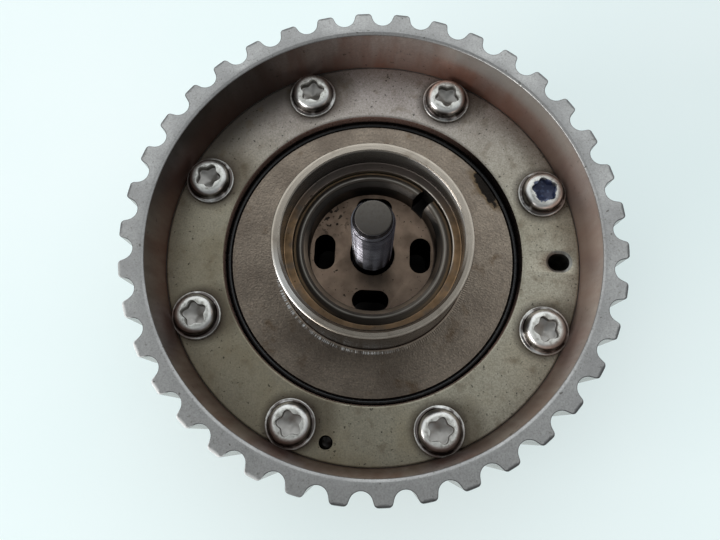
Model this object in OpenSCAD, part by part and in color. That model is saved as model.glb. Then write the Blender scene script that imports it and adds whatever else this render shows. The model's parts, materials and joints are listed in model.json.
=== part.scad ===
// Belt-driven cam phaser, seen from the camshaft side with its front face down.
// A toothed rim turns with the vane housing; a vane rotor inside it turns with the camshaft.
// Z = 0 is the outer face of the front cover, and +Z runs along the cam axis to the camshaft.

/* [Belt teeth] */
// Number of belt teeth
teeth = 38; // [36:1:48]
// Belt pitch
belt_pitch = 8; // [7.8:0.1:9.6]
// Distance from the belt pitch line down to the tooth tips
belt_line = 0.69; // [0.4:0.01:0.9]
// Depth of a tooth gap
gap_depth = 2.8; // [2.2:0.1:3.2]
// Radius of the round bottom of a tooth gap
gap_r = 2.1; // [1.8:0.05:2.3]
// Lean of a tooth flank from the radial direction
flank_a = 20; // [12:1:26]
// Rounding of a tooth tip's corners
tip_round = 0.6; // [0.2:0.05:0.7]
// Width of the toothed rim along the axis
rim_w = 26; // [20:0.5:32]
// Chamfer at the ends of the teeth
tooth_chamfer = 0.4; // [0.2:0.05:0.8]

/* [Rim] */
// Wall between the tooth gaps and the recess at the rim's edge
rim_wall = 2.05; // [1.4:0.05:3]
// How much the recess narrows from its edge down to the clamp ring
recess_taper = 1.25; // [0.4:0.05:2]
// Depth of the recess from the rim's edge to the clamp ring
recess_h = 10.7; // [8:0.1:14]
// Bevel on the rim's inner edge
rim_bevel = 0.35; // [0.1:0.05:0.6]
// Radial play between the rim and the housing pressed into it
seat_gap = 0.03; // [0.01:0.01:0.08]

/* [Housing] */
// Thickness of the front cover
front_t = 7; // [6:0.1:10]
// Axial length of the vane chambers
chamber_h = 15.5; // [12:0.5:22]
// Travel of the rotor
travel_a = 26; // [16:1:30]
// Width of a vane, as an angle
vane_a = 24; // [20:1:28]
// Spare angle between a vane and the chamber's end at each limit
stop_a = 1; // [0.5:0.1:3]
// Wall between the chambers and the screw holes
chamber_wall = 3.3; // [2.8:0.1:5]
// How far the shoulder that carries the rim stays below the tooth gaps
shoulder_drop = 0.9; // [0.5:0.1:2]
// How far the front cover stays inside the shoulder
cover_inset = 1.5; // [0.5:0.1:3]
// Chamfer on the front cover's edge
cover_chamfer = 1; // [0.4:0.1:2]

/* [Rear cover and collar] */
// Thickness of the rear cover's disc
rear_t = 3; // [2.4:0.1:5]
// Height of the boss above the disc
boss_h = 1.2; // [0.8:0.05:2]
// Diameter of the collar that a shaft seal runs on
collar_d = 38; // [36:0.5:42]
// Height of the collar above the rim's edge
collar_rise = 1.05; // [0:0.05:4]
// Diameter of the collar's wide bore
collar_bore_d = 34.4; // [33:0.1:35]
// Depth of the wide bore
collar_bore_h = 5.65; // [4:0.05:9]
// Chamfer at the collar's mouth and outer edge
collar_chamfer = 0.3; // [0.1:0.05:0.6]
// Fillet at the collar's foot
collar_fillet = 1.1; // [0.5:0.1:2]

/* [Clamp ring] */
// Thickness of the clamp ring
ring_t = 3.5; // [2.5:0.1:5]
// Diameter of the clamp ring's hole
ring_hole_d = 60; // [56:0.5:61]
// Width of the groove between the clamp ring and the boss
groove_w = 1.3; // [1:0.05:2]
// Chamfer on the clamp ring's edges
ring_chamfer = 0.4; // [0.2:0.05:0.8]
// Width of the oblong tooling hole
tool_hole_w = 3.5; // [2.5:0.1:4]
// Length of the oblong tooling hole along the radius
tool_hole_l = 4.3; // [4.1:0.1:5]
// Depth of the tooling hole from the clamp ring's face
tool_hole_h = 11; // [9:0.5:14]
// Distance of the tooling hole from the housing's edge
tool_hole_inset = 4.1; // [3.5:0.1:5]
// Diameter of the locating dowel
dowel_d = 2.6; // [2:0.1:3.5]
// Length of the locating dowel
dowel_l = 10; // [8:0.5:14]
// Angle of the locating dowel
dowel_a = 259; // [256:0.5:262]
// Distance of the dowel from the housing's edge
dowel_inset = 3.6; // [3:0.1:5]
// How far the dowel's end lies below the clamp ring's face
dowel_drop = 0.6; // [0.1:0.05:1]

/* [Cover screws] */
// Number of cover screws
screws = 8; // [6:1:8]
// Diameter of the screw thread
screw_d = 5; // [4.5:0.1:5.4]
// Distance of the screws from the housing's edge
screw_inset = 4.6; // [4.2:0.1:6]
// Diameter of the screw's flange
screw_flange_d = 9.7; // [8:0.1:10.5]
// Thickness of the screw's flange
screw_flange_h = 0.9; // [0.6:0.1:1.4]
// Diameter of the domed head on the flange
screw_dome_d = 7.7; // [6.5:0.1:8]
// Height of the domed head above the flange
screw_dome_h = 2.1; // [1.6:0.1:3]
// Diameter of the flat crown on the domed head
screw_crown_d = 6.4; // [5.6:0.1:6.6]
// Number of points of the lobed recess
screw_lobes = 5; // [5:1:6]
// Width of the lobed recess over its points
screw_drive_d = 5; // [4.6:0.1:5.4]
// Width of the lobed recess between its points
screw_valley_d = 4; // [3.4:0.1:4.4]
// Radius of a point of the lobed recess
screw_lobe_r = 0.6; // [0.5:0.05:0.9]
// Depth of the lobed recess
screw_drive_h = 1.9; // [1.2:0.1:2.2]
// How far the thread bites into the front cover
screw_bite = 4.8; // [3:0.1:5.5]

/* [Rotor] */
// Diameter of the rotor's hub
hub_d = 39; // [36:0.5:44]
// Diameter of the neck that turns in the rear cover
neck_d = 30.8; // [29.5:0.1:31.4]
// How far the neck's lip lies below the bottom of the wide bore
neck_drop = 0.2; // [0.1:0.05:1]
// Chamfer on the outside of the neck's lip
lip_chamfer = 1.1; // [0.4:0.1:1.4]
// Diameter of the bore for the camshaft's nose
nose_d = 25; // [23:0.5:26.5]
// Chamfer at the mouth of the nose bore
nose_chamfer = 0.9; // [0.3:0.1:1]
// Depth of the nose bore from the lip to its floor
nose_h = 5.8; // [3:0.1:8]
// Width of the notch for the camshaft's dowel
notch_w = 2.9; // [2:0.1:4]
// Height of the notch's bottom above the floor
notch_rise = 0.2; // [0.1:0.05:1]
// Angle of the notch
notch_a = 46; // [40:1:60]
// Width of an oil slot along the radius
slot_w = 4.2; // [3:0.1:4.6]
// Length of an oil slot across the radius
slot_l = 7.3; // [5:0.1:8.5]
// Radius at the middle of the oil slots
slot_r = 9.6; // [9.3:0.1:9.9]
// Depth of the oil slots below the floor
slot_h = 13; // [11:0.5:13]
// Diameter of the oil drillings
drill_d = 2.2; // [1.6:0.1:3]

/* [Center bolt] */
// Diameter over the bolt's thread
bolt_d = 7.8; // [7:0.1:9]
// Diameter of the bolt's waisted shank in the rotor
bolt_shank_d = 7; // [6:0.1:7]
// How far the waisted shank stands out of the nose bore's floor
bolt_shank_rise = 0.5; // [0.2:0.1:2]
// How far the bolt stands out of the nose bore's floor
bolt_reach = 23.5; // [16:0.5:30]
// Chamfer at the bolt's tip
bolt_chamfer = 0.85; // [0.4:0.05:1.4]
// Width across flats of the bolt's head
bolt_af = 13; // [12:0.5:14]
// Height of the bolt's head with its flange
bolt_head_h = 7; // [5:0.5:8]
// Diameter of the flange under the bolt's head
bolt_flange_d = 16.4; // [15.5:0.1:17]
// Thickness of the flange under the bolt's head
bolt_flange_h = 1.6; // [1:0.1:2.5]
// Depth of the pocket for the bolt's head in the rotor
head_pocket_h = 5; // [4.5:0.1:5.6]

/* [Front plug] */
// Diameter of the plug's head
plug_d = 28; // [26:0.5:32]
// Thickness of the plug's head
plug_t = 2.9; // [2.2:0.1:3.2]
// How far the plug's head lies inside the front cover's face
plug_drop = 0.5; // [0.2:0.1:1]
// Diameter of the plug's threaded skirt
plug_skirt_d = 22; // [21.5:0.1:23]
// Wall of the plug's skirt
plug_wall = 1.6; // [1.2:0.1:2]
// Number of points of the plug's lobed recess
plug_lobes = 6; // [5:1:6]
// Width of the plug's lobed recess over its points
plug_drive_d = 11; // [10:0.5:14]
// Width of the plug's lobed recess between its points
plug_valley_d = 8; // [7:0.1:9]
// Radius of a point of the plug's lobed recess
plug_lobe_r = 1.65; // [1:0.05:2]
// Depth of the plug's lobed recess
plug_drive_h = 1.6; // [1:0.1:1.8]

/* [Seals] */
// Width of a vane or lobe seal strip
strip_w = 1.8; // [1.4:0.1:2.4]
// Height of a seal strip
strip_h = 2.4; // [1.8:0.1:3]
// Room for the leaf spring behind a seal strip
leaf_room = 0.8; // [0.6:0.05:1.2]
// Thickness of a leaf spring
leaf_t = 0.2; // [0.15:0.01:0.3]
// Length of a leaf spring
leaf_l = 11; // [8:0.5:11.5]
// Cord diameter of the two face seal rings
face_cord_d = 1.5; // [1.2:0.1:1.9]
// Cord diameter of the plug's seal ring
plug_cord_d = 1.6; // [1.2:0.1:2]

/* [Lock pin] */
// Diameter of the lock pin
pin_d = 6; // [5:0.1:6.4]
// Length of the lock pin
pin_l = 8.5; // [7:0.1:9]
// Diameter of the pin's spring pocket
pin_pocket_d = 4.2; // [4:0.1:4.4]
// Depth of the pin's spring pocket
pin_pocket_h = 6; // [4:0.1:6.4]
// Travel of the lock pin
pin_travel = 2.6; // [2:0.1:3]
// Taper at the lock pin's tip
pin_taper = 0.65; // [0.3:0.05:1]
// Wall between the spring seat and the vane's seal slot
lock_wall = 0.6; // [0.4:0.1:1]
// Lock bush wall
bush_wall = 1.2; // [0.8:0.1:1.5]
// Lock bush height
bush_h = 4; // [3.6:0.1:5]
// Thickness of the spring seat behind the pin
seat_t = 1.8; // [1.2:0.1:2.5]
// Lip of the spring seat around the pin's bore
seat_lip = 0.8; // [0.5:0.1:1]
// Wire diameter of the lock spring
wire_d = 0.6; // [0.4:0.05:0.7]
// Turns of the lock spring
wire_turns = 6; // [4:1:8]

/* [Clearances] */
// Radial running clearance of the neck in the rear cover and of the pin in its bore
run_clear = 0.08; // [0.03:0.01:0.1]
// Gap between the rotor and the housing at the vane tips and lobes
vane_clear = 0.2; // [0.1:0.05:0.3]
// Axial gap at each end of the rotor
end_clear = 0.15; // [0.1:0.05:0.3]
// Gap between a seal strip and the face it wipes
wipe_clear = 0.06; // [0.04:0.01:0.1]
// Radial clearance of screws and bolt in plain holes
hole_clear = 0.25; // [0.15:0.05:0.4]
// Radial clearance of the center bolt's thread in the rotor
bolt_clear = 0.6; // [0.3:0.05:0.8]
// Small clearance between pieces that sit in one another
fit_clear = 0.04; // [0.02:0.01:0.08]

/* [Hidden] */

$fn = 96;
// Overlap that lets a cut pass right through a face
cut = 1;
// How far arcs and flanks overlap where they blend
blend = 0.01;
// Vanes, lobes and oil slots round the axis
vanes = 4;
vane_step = 360 / vanes;
// Steps per turn and sides of the lock spring's wire
wire_steps = 14;
wire_sides = 6;

// Radii from the belt inwards
tip_r = teeth * belt_pitch / (2 * PI) - belt_line;
root_r = tip_r - gap_depth;
recess_r = root_r - rim_wall;
seat_r = recess_r - recess_taper;
housing_r = seat_r - seat_gap;
shoulder_r = root_r - shoulder_drop;
front_r = shoulder_r - cover_inset;
screw_r = screw_d / 2;
screw_hole_r = screw_r + hole_clear;
screw_circle_r = housing_r - screw_inset;
screw_step = 360 / screws;
chamber_r = screw_circle_r - screw_hole_r - chamber_wall;
face_seal_r = chamber_r + chamber_wall / 2;
ring_hole_r = ring_hole_d / 2;
boss_r = ring_hole_r - groove_w;
collar_r = collar_d / 2;
collar_bore_r = collar_bore_d / 2;
neck_r = neck_d / 2;
nose_r = nose_d / 2;
journal_r = neck_r + run_clear;
hub_r = hub_d / 2;
vane_r = chamber_r - vane_clear;
lobe_r = hub_r + vane_clear;
bolt_r = bolt_d / 2;
bolt_shank_r = bolt_shank_d / 2;
bolt_hole_r = bolt_r + bolt_clear;
dowel_r = dowel_d / 2;

// Heights from the front face up
chamber_z = front_t;
rear_z = chamber_z + chamber_h;
ring_z = rear_z + rear_t;
face_z = ring_z + ring_t;
rim_z = face_z + recess_h;
rim_base_z = rim_z - rim_w;
boss_z = ring_z + boss_h;
collar_z = rim_z + collar_rise;
step_z = collar_z - collar_bore_h;
lip_z = step_z - neck_drop;
floor_z = lip_z - nose_h;
rotor_z = chamber_z + end_clear;
rotor_h = chamber_h - 2 * end_clear;
rotor_top_z = rotor_z + rotor_h;
bolt_seat_z = rotor_z + head_pocket_h;
bolt_tip_z = floor_z + bolt_reach;
thread_z = floor_z + bolt_shank_rise;
screw_tip_z = chamber_z - screw_bite;
plug_seat_z = plug_drop + plug_t;

// Angles: the rotor rests at one end of its travel
chamber_a = vane_a + travel_a + 2 * stop_a;
rest_a = -travel_a / 2;
lobe_mid_a = vane_step / 2;

// Tooth gap: the flank touches the round bottom, and the tip corner rolls onto the tip circle
gap_x = root_r + gap_r;
flank_dir = [cos(flank_a), sin(flank_a)];
flank_out = [-sin(flank_a), cos(flank_a)];
flank_0 = [gap_x - gap_r * sin(flank_a), gap_r * cos(flank_a)];
round_0 = flank_0 + tip_round * flank_out;
round_b = round_0 * flank_dir;
round_t = sqrt(pow(round_b, 2) - round_0 * round_0 + pow(tip_r - tip_round, 2)) - round_b;
round_c = round_0 + round_t * flank_dir;
round_a = atan2(round_c[1], round_c[0]);
flank_in = flank_0 - blend * flank_out;
round_in = round_c - (tip_round + cut) * flank_out;
round_tip = (tip_r + cut) * [cos(round_a), sin(round_a)];
flank_end = flank_in + (round_t + tip_round + cut) * flank_dir;

// Seal strips: slots are as deep as the strip and its leaf spring
strip_slot_h = strip_h + leaf_room;
strip_l = rotor_h - 2 * fit_clear;
strip_mid_z = rotor_z + rotor_h / 2;
vane_slot_x = vane_r - strip_slot_h;
lobe_slot_x = lobe_r + strip_slot_h;
leaf_w = strip_w - 2 * fit_clear;
leaf_rise = leaf_room - leaf_t - 2 * fit_clear;
leaf_r = (pow(leaf_l / 2, 2) + pow(leaf_rise, 2)) / (2 * leaf_rise);

// Lock pin and its spring
pin_r = pin_d / 2;
pin_bore_r = pin_r + run_clear;
pin_pocket_r = pin_pocket_d / 2;
pin_tip_z = chamber_z + end_clear + hole_clear;
spring_z = pin_tip_z + pin_l - pin_pocket_h + fit_clear;
seat_z = rotor_top_z - seat_t;
spring_top_z = seat_z - fit_clear;
coil_r = pin_pocket_r - wire_d / 2 - run_clear;
seat_out_r = pin_bore_r + seat_lip;
lock_r = vane_slot_x - lock_wall - seat_out_r - fit_clear;
bush_in_r = pin_r + run_clear + fit_clear;
bush_out_r = bush_in_r + bush_wall;
bush_pocket_h = bush_h + fit_clear;

// Sector of a disc, centred on +X
module sector(r, angle) {
    reach = 2 * r;
    intersection() {
        circle(r = r);
        polygon([for (side = [-1:1]) reach * abs(side) * [cos(angle / 2), side * sin(angle / 2)]]);
    }
}

// Lobed recess outline, d over its points of radius point_r and valley_d between them
module drive_outline(points, d, valley_d, point_r) {
    circle(d = valley_d);
    for (i = [0:points - 1])
        rotate(i * 360 / points)
            translate([d / 2 - point_r, 0])
                circle(r = point_r);
}

// Slot outline with round ends, w wide along X and l long along Y
module slot_outline(w, l) {
    end_y = (l - w) / 2;
    square([w, 2 * end_y], center = true);
    for (side = [-1, 1])
        translate([0, side * end_y])
            circle(d = w);
}

// Places children on the screw circle
module at_screws() {
    for (i = [0:screws - 1])
        rotate((i + 0.5) * screw_step)
            translate([screw_circle_r, 0, 0])
                children();
}

// Places children where the dowel is
module at_dowel() {
    rotate(dowel_a)
        translate([housing_r - dowel_inset, 0, 0])
            children();
}

// Tooling hole from z0 to z1
module tool_hole(z0, z1) {
    translate([housing_r - tool_hole_inset, 0, z0])
        linear_extrude(height = z1 - z0)
            rotate(90)
                slot_outline(tool_hole_w, tool_hole_l);
}

// Upright cylinder from z0 to z1
module upright(r, z0, z1) {
    translate([0, 0, z0])
        cylinder(r = r, h = z1 - z0);
}

// Flat ring of rectangular section
module ring_cut(r0, r1, z0, z1) {
    rotate_extrude()
        translate([r0, z0])
            square([r1 - r0, z1 - z0]);
}

// Ring of round cord
module cord_ring(r, cord_d, z) {
    rotate_extrude()
        translate([r, z])
            circle(d = cord_d, $fn = 32);
}

// Groove for a round cord, as deep and wide as the cord with its clearance
module cord_groove(r, cord_d, z0, z1) {
    ring_cut(r - cord_d / 2 - fit_clear, r + cord_d / 2 + fit_clear, z0, z1);
}

// Bowed leaf spring along Z: its ends lie at x = 0 and its middle at x = leaf_rise + leaf_t
module leaf() {
    rotate([90, 0, 0])
        linear_extrude(height = leaf_w, center = true)
            intersection() {
                translate([leaf_rise + leaf_t - leaf_r, 0])
                    difference() {
                        circle(r = leaf_r);
                        circle(r = leaf_r - leaf_t);
                    }
                translate([-cut, -leaf_l / 2])
                    square([leaf_room + cut, leaf_l]);
            }
}

// Tooth gap outline on +X: round bottom, straight flanks and rolled tip corners
module tooth_gap() {
    translate([gap_x, 0])
        circle(r = gap_r);
    polygon([
        [gap_x, 0], flank_in, flank_end,
        [flank_end[0], -flank_end[1]], [flank_in[0], -flank_in[1]]
    ]);
    for (side = [0, 1])
        mirror([0, side])
            difference() {
                polygon([round_c, round_in, [round_tip[0], 0], round_tip]);
                translate(round_c)
                    circle(r = tip_round + 2 * blend);
            }
}

module pulley() {
    color("#9a9892")
        difference() {
            intersection() {
                translate([0, 0, rim_base_z - cut])
                    linear_extrude(height = rim_w + 2 * cut)
                        difference() {
                            circle(r = tip_r);
                            for (i = [0:teeth - 1])
                                rotate((i + 0.5) * 360 / teeth)
                                    tooth_gap();
                        }
                rotate_extrude()
                    polygon([
                        [0, rim_base_z], [tip_r - tooth_chamfer, rim_base_z],
                        [tip_r + cut, rim_base_z + tooth_chamfer + cut],
                        [tip_r + cut, rim_z - tooth_chamfer - cut],
                        [tip_r - tooth_chamfer, rim_z], [0, rim_z]
                    ]);
            }
            upright(seat_r, rim_base_z - cut, face_z + cut);
            rotate_extrude()
                polygon([
                    [0, face_z], [seat_r, face_z], [recess_r - rim_bevel, rim_z - rim_bevel],
                    [recess_r, rim_z], [recess_r, rim_z + cut], [0, rim_z + cut]
                ]);
        }
}

module stator() {
    color("#6f6c68")
        difference() {
            union() {
                upright(housing_r, chamber_z, rear_z);
                upright(shoulder_r, chamber_z, rim_base_z);
            }
            translate([0, 0, chamber_z - cut])
                linear_extrude(height = chamber_h + 2 * cut) {
                    circle(r = lobe_r);
                    for (i = [0:vanes - 1])
                        rotate(i * vane_step)
                            sector(chamber_r, chamber_a);
                    for (i = [0:vanes - 1])
                        rotate(lobe_mid_a + i * vane_step)
                            translate([hub_r, -strip_w / 2 - fit_clear])
                                square([lobe_slot_x - hub_r, strip_w + 2 * fit_clear]);
                }
            at_screws()
                upright(screw_hole_r, chamber_z - cut, rear_z + cut);
            cord_groove(face_seal_r, face_cord_d, rear_z - face_cord_d - fit_clear, rear_z + cut);
            at_dowel()
                upright(dowel_r + fit_clear, face_z - dowel_drop - dowel_l - fit_clear, rear_z + cut);
            tool_hole(face_z - tool_hole_h, rear_z + cut);
        }
}

module front_cover() {
    color("#77746f")
        difference() {
            rotate_extrude()
                polygon([
                    [0, 0], [front_r - cover_chamfer, 0], [front_r, cover_chamfer],
                    [front_r, chamber_z], [0, chamber_z]
                ]);
            upright(plug_d / 2 + hole_clear, -cut, plug_seat_z);
            upright(plug_skirt_d / 2 + fit_clear, -cut, chamber_z + cut);
            ring_cut(plug_skirt_d / 2, plug_skirt_d / 2 + plug_cord_d + fit_clear,
                plug_seat_z - cut, plug_seat_z + plug_cord_d + fit_clear);
            at_screws()
                upright(screw_r + fit_clear, screw_tip_z - fit_clear, chamber_z + cut);
            cord_groove(face_seal_r, face_cord_d, chamber_z - face_cord_d - fit_clear, chamber_z + cut);
            for (side = [-1, 1])
                rotate(side * rest_a)
                    translate([lock_r, 0, 0])
                        upright(bush_out_r + fit_clear, chamber_z - bush_pocket_h, chamber_z + cut);
        }
}

module rear_cover() {
    color("#8f857a")
        difference() {
            rotate_extrude() {
                polygon([
                    [journal_r, rear_z], [housing_r, rear_z], [housing_r, ring_z], [boss_r, ring_z],
                    [boss_r, boss_z], [collar_r, boss_z], [collar_r, collar_z - collar_chamfer],
                    [collar_r - collar_chamfer, collar_z], [collar_bore_r + collar_chamfer, collar_z],
                    [collar_bore_r, collar_z - collar_chamfer], [collar_bore_r, step_z], [journal_r, step_z]
                ]);
                difference() {
                    translate([collar_r, boss_z])
                        square(collar_fillet);
                    translate([collar_r + collar_fillet, boss_z + collar_fillet])
                        circle(r = collar_fillet);
                }
            }
            at_screws()
                upright(screw_hole_r, rear_z - cut, ring_z + cut);
            at_dowel()
                upright(dowel_r + fit_clear, rear_z - cut, ring_z + cut);
            tool_hole(rear_z - cut, ring_z + cut);
        }
}

module clamp_ring() {
    color("#7d7c6c")
        difference() {
            rotate_extrude()
                polygon([
                    [ring_hole_r, ring_z], [housing_r, ring_z], [housing_r, face_z - ring_chamfer],
                    [housing_r - ring_chamfer, face_z], [ring_hole_r + ring_chamfer, face_z],
                    [ring_hole_r, face_z - ring_chamfer]
                ]);
            at_screws()
                upright(screw_hole_r, ring_z - cut, face_z + cut);
            at_dowel()
                upright(dowel_r + fit_clear, ring_z - cut, face_z + cut);
            tool_hole(ring_z - cut, face_z + cut);
        }
}

module cover_screws() {
    dome_z = face_z + screw_flange_h;
    head_z = dome_z + screw_dome_h;
    flange_r = screw_flange_d / 2;
    dome_r = screw_dome_d / 2;
    color("#c9c8c4")
        at_screws()
            difference() {
                rotate_extrude()
                    polygon([
                        [0, screw_tip_z], [screw_r, screw_tip_z], [screw_r, face_z], [flange_r, face_z],
                        [flange_r, face_z + screw_flange_h / 2], [dome_r, dome_z],
                        [dome_r, dome_z + screw_dome_h / 2], [screw_crown_d / 2, head_z], [0, head_z]
                    ]);
                translate([0, 0, head_z - screw_drive_h])
                    linear_extrude(height = screw_drive_h + cut)
                        drive_outline(screw_lobes, screw_drive_d, screw_valley_d, screw_lobe_r);
            }
}

module locating_dowel() {
    color("#3a3936")
        at_dowel()
            upright(dowel_r, face_z - dowel_drop - dowel_l, face_z - dowel_drop);
}

module groove_seal() {
    color("#141414")
        cord_ring((ring_hole_r + boss_r) / 2, groove_w - 2 * fit_clear, ring_z + groove_w / 2);
}

module front_face_seal() {
    color("#1c1c1c")
        cord_ring(face_seal_r, face_cord_d, chamber_z - face_cord_d / 2);
}

module rear_face_seal() {
    color("#1c1c1c")
        cord_ring(face_seal_r, face_cord_d, rear_z - face_cord_d / 2);
}

module front_plug() {
    skirt_r = plug_skirt_d / 2;
    skirt_z = chamber_z - end_clear;
    color("#8a8a88")
        difference() {
            union() {
                upright(plug_d / 2, plug_drop, plug_seat_z);
                upright(skirt_r, plug_drop, skirt_z);
            }
            upright(skirt_r - plug_wall, plug_seat_z, chamber_z);
            translate([0, 0, plug_drop - cut])
                linear_extrude(height = plug_drive_h + cut)
                    drive_outline(plug_lobes, plug_drive_d, plug_valley_d, plug_lobe_r);
        }
}

module plug_seal() {
    color("#1c1c1c")
        cord_ring((plug_skirt_d + plug_cord_d) / 2 + fit_clear, plug_cord_d - fit_clear,
            plug_seat_z + plug_cord_d / 2);
}

module lock_bush(side) {
    color("#b3b1ad")
        rotate(side * rest_a)
            translate([lock_r, 0, 0])
                difference() {
                    upright(bush_out_r, chamber_z - bush_h, chamber_z);
                    upright(bush_in_r, chamber_z - bush_h - cut, chamber_z + cut);
                }
}

module rotor() {
    color("#857b70")
        difference() {
            union() {
                translate([0, 0, rotor_z])
                    linear_extrude(height = rotor_h)
                        difference() {
                            union() {
                                circle(r = hub_r);
                                for (i = [0:vanes - 1])
                                    rotate(rest_a + i * vane_step)
                                        sector(vane_r, vane_a);
                            }
                            for (i = [0:vanes - 1])
                                rotate(rest_a + i * vane_step)
                                    translate([vane_slot_x, -strip_w / 2 - fit_clear])
                                        square([strip_slot_h + cut, strip_w + 2 * fit_clear]);
                        }
                rotate_extrude()
                    polygon([
                        [0, rotor_z], [neck_r, rotor_z], [neck_r, lip_z - lip_chamfer],
                        [neck_r - lip_chamfer, lip_z], [nose_r + nose_chamfer, lip_z],
                        [nose_r, lip_z - nose_chamfer], [nose_r, floor_z], [0, floor_z]
                    ]);
            }
            upright(bolt_hole_r, rotor_z - cut, floor_z + cut);
            upright(bolt_flange_d / 2 + hole_clear, rotor_z - cut, bolt_seat_z);
            rotate(notch_a)
                translate([nose_r - cut, -notch_w / 2, floor_z + notch_rise])
                    cube([neck_r - nose_r + 2 * cut, notch_w, nose_h - notch_rise + cut]);
            for (i = [0:vanes - 1])
                rotate(i * vane_step)
                    translate([slot_r, 0, floor_z - slot_h])
                        linear_extrude(height = slot_h + cut)
                            slot_outline(slot_w, slot_l);
            oil_drillings();
            rotate(rest_a)
                translate([lock_r, 0, 0]) {
                    upright(pin_bore_r, rotor_z - cut, rotor_top_z + cut);
                    upright(seat_out_r + fit_clear, seat_z, rotor_top_z + cut);
                }
        }
}

// Radial drillings to the two sides of each vane: one set from the slots, one from the bolt's hole
module oil_drillings() {
    high_z = floor_z - slot_h + drill_d;
    low_z = bolt_seat_z + drill_d;
    for (i = [0:vanes - 1], side = [-1, 1])
        rotate(rest_a + i * vane_step + side * vane_a / 2)
            translate([side > 0 ? slot_r : 0, 0, side > 0 ? high_z : low_z])
                rotate([0, 90, 0])
                    cylinder(d = drill_d, h = hub_r + drill_d / 2 - (side > 0 ? slot_r : 0));
}

module center_bolt() {
    flange_z = bolt_seat_z - bolt_flange_h;
    color("#55585c")
        union() {
            rotate_extrude()
                polygon([
                    [0, flange_z], [bolt_flange_d / 2, flange_z], [bolt_flange_d / 2, bolt_seat_z],
                    [bolt_shank_r, bolt_seat_z], [bolt_shank_r, thread_z], [bolt_r, thread_z],
                    [bolt_r, bolt_tip_z - bolt_chamfer],
                    [bolt_r - bolt_chamfer, bolt_tip_z], [0, bolt_tip_z]
                ]);
            translate([0, 0, bolt_seat_z - bolt_head_h])
                cylinder(d = bolt_af / cos(30), h = bolt_head_h - bolt_flange_h / 2, $fn = 6);
        }
}

module lock_pin() {
    color("#a9a7a3")
        rotate(rest_a)
            translate([lock_r, 0, 0])
                difference() {
                    rotate_extrude()
                        polygon([
                            [0, pin_tip_z], [pin_r - pin_taper, pin_tip_z], [pin_r, pin_tip_z + pin_taper],
                            [pin_r, pin_tip_z + pin_l], [0, pin_tip_z + pin_l]
                        ]);
                    upright(pin_pocket_r, pin_tip_z + pin_l - pin_pocket_h, pin_tip_z + pin_l + cut);
                }
}

// Helical wire: rings of points across the wire, swept up the coil
module lock_spring() {
    wire_r = wire_d / 2;
    rings = wire_turns * wire_steps;
    rise = spring_top_z - spring_z - wire_d;
    points = [
        for (i = [0:rings], j = [0:wire_sides - 1])
            let (turn = i * 360 / wire_steps, across = j * 360 / wire_sides)
            let (r = coil_r + wire_r * cos(across))
            [r * cos(turn), r * sin(turn), spring_z + wire_r + rise * i / rings + wire_r * sin(across)]
    ];
    sides = [
        for (i = [0:rings - 1], j = [0:wire_sides - 1])
            let (k = (j + 1) % wire_sides, low = i * wire_sides, high = low + wire_sides)
            [low + j, low + k, high + k, high + j]
    ];
    first = [for (j = [wire_sides - 1:-1:0]) j];
    last = [for (j = [0:wire_sides - 1]) rings * wire_sides + j];
    color("#8d8f92")
        rotate(rest_a)
            translate([lock_r, 0, 0])
                polyhedron(points, concat(sides, [first, last]));
}

module spring_seat() {
    color("#9b9994")
        rotate(rest_a)
            translate([lock_r, 0, 0])
                difference() {
                    upright(seat_out_r, seat_z, rotor_top_z);
                    upright(drill_d / 2, seat_z - cut, rotor_top_z + cut);
                }
}

module vane_seal(i) {
    wipe_r = chamber_r - wipe_clear;
    color("#2e2b28")
        rotate(rest_a + (i - 1) * vane_step)
            translate([0, 0, strip_mid_z])
                linear_extrude(height = strip_l, center = true)
                    intersection() {
                        circle(r = wipe_r);
                        translate([vane_slot_x + leaf_room, -strip_w / 2])
                            square([strip_h + cut, strip_w]);
                    }
}

module vane_leaf(i) {
    color("#a5a7a8")
        rotate(rest_a + (i - 1) * vane_step)
            translate([vane_slot_x + fit_clear, 0, strip_mid_z])
                leaf();
}

module lobe_seal(i) {
    wipe_r = hub_r + wipe_clear;
    color("#2e2b28")
        rotate(lobe_mid_a + (i - 1) * vane_step)
            translate([0, 0, strip_mid_z])
                linear_extrude(height = strip_l, center = true)
                    difference() {
                        translate([hub_r - cut, -strip_w / 2])
                            square([lobe_slot_x - leaf_room - hub_r + cut, strip_w]);
                        circle(r = wipe_r);
                    }
}

module lobe_leaf(i) {
    color("#a5a7a8")
        rotate(lobe_mid_a + (i - 1) * vane_step)
            translate([lobe_slot_x - fit_clear, 0, strip_mid_z])
                rotate(180)
                    leaf();
}

pulley();
stator();
front_cover();
rear_cover();
clamp_ring();
cover_screws();
locating_dowel();
groove_seal();
front_face_seal();
rear_face_seal();
front_plug();
plug_seal();
lock_bush(1);  // lock_bush_1
lock_bush(-1);  // lock_bush_2
rotor();
center_bolt();
lock_pin();
lock_spring();
spring_seat();
for (i = [1:vanes]) {
    vane_seal(i);
    vane_leaf(i);
    lobe_seal(i);
    lobe_leaf(i);
}
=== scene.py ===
# %% [markdown]
# # Cam phaser
# This is the toothed wheel that a timing belt drives on the end of a camshaft. Oil turns the vane rotor
# inside it to shift the valve timing. The imported CAD model comes in first and never moves: it is the frame
# that every finished piece is fitted to. Its box is kept.

# %% Load the frame
import json
import math

import bmesh
import bpy
from mathutils import Matrix, Vector


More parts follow.
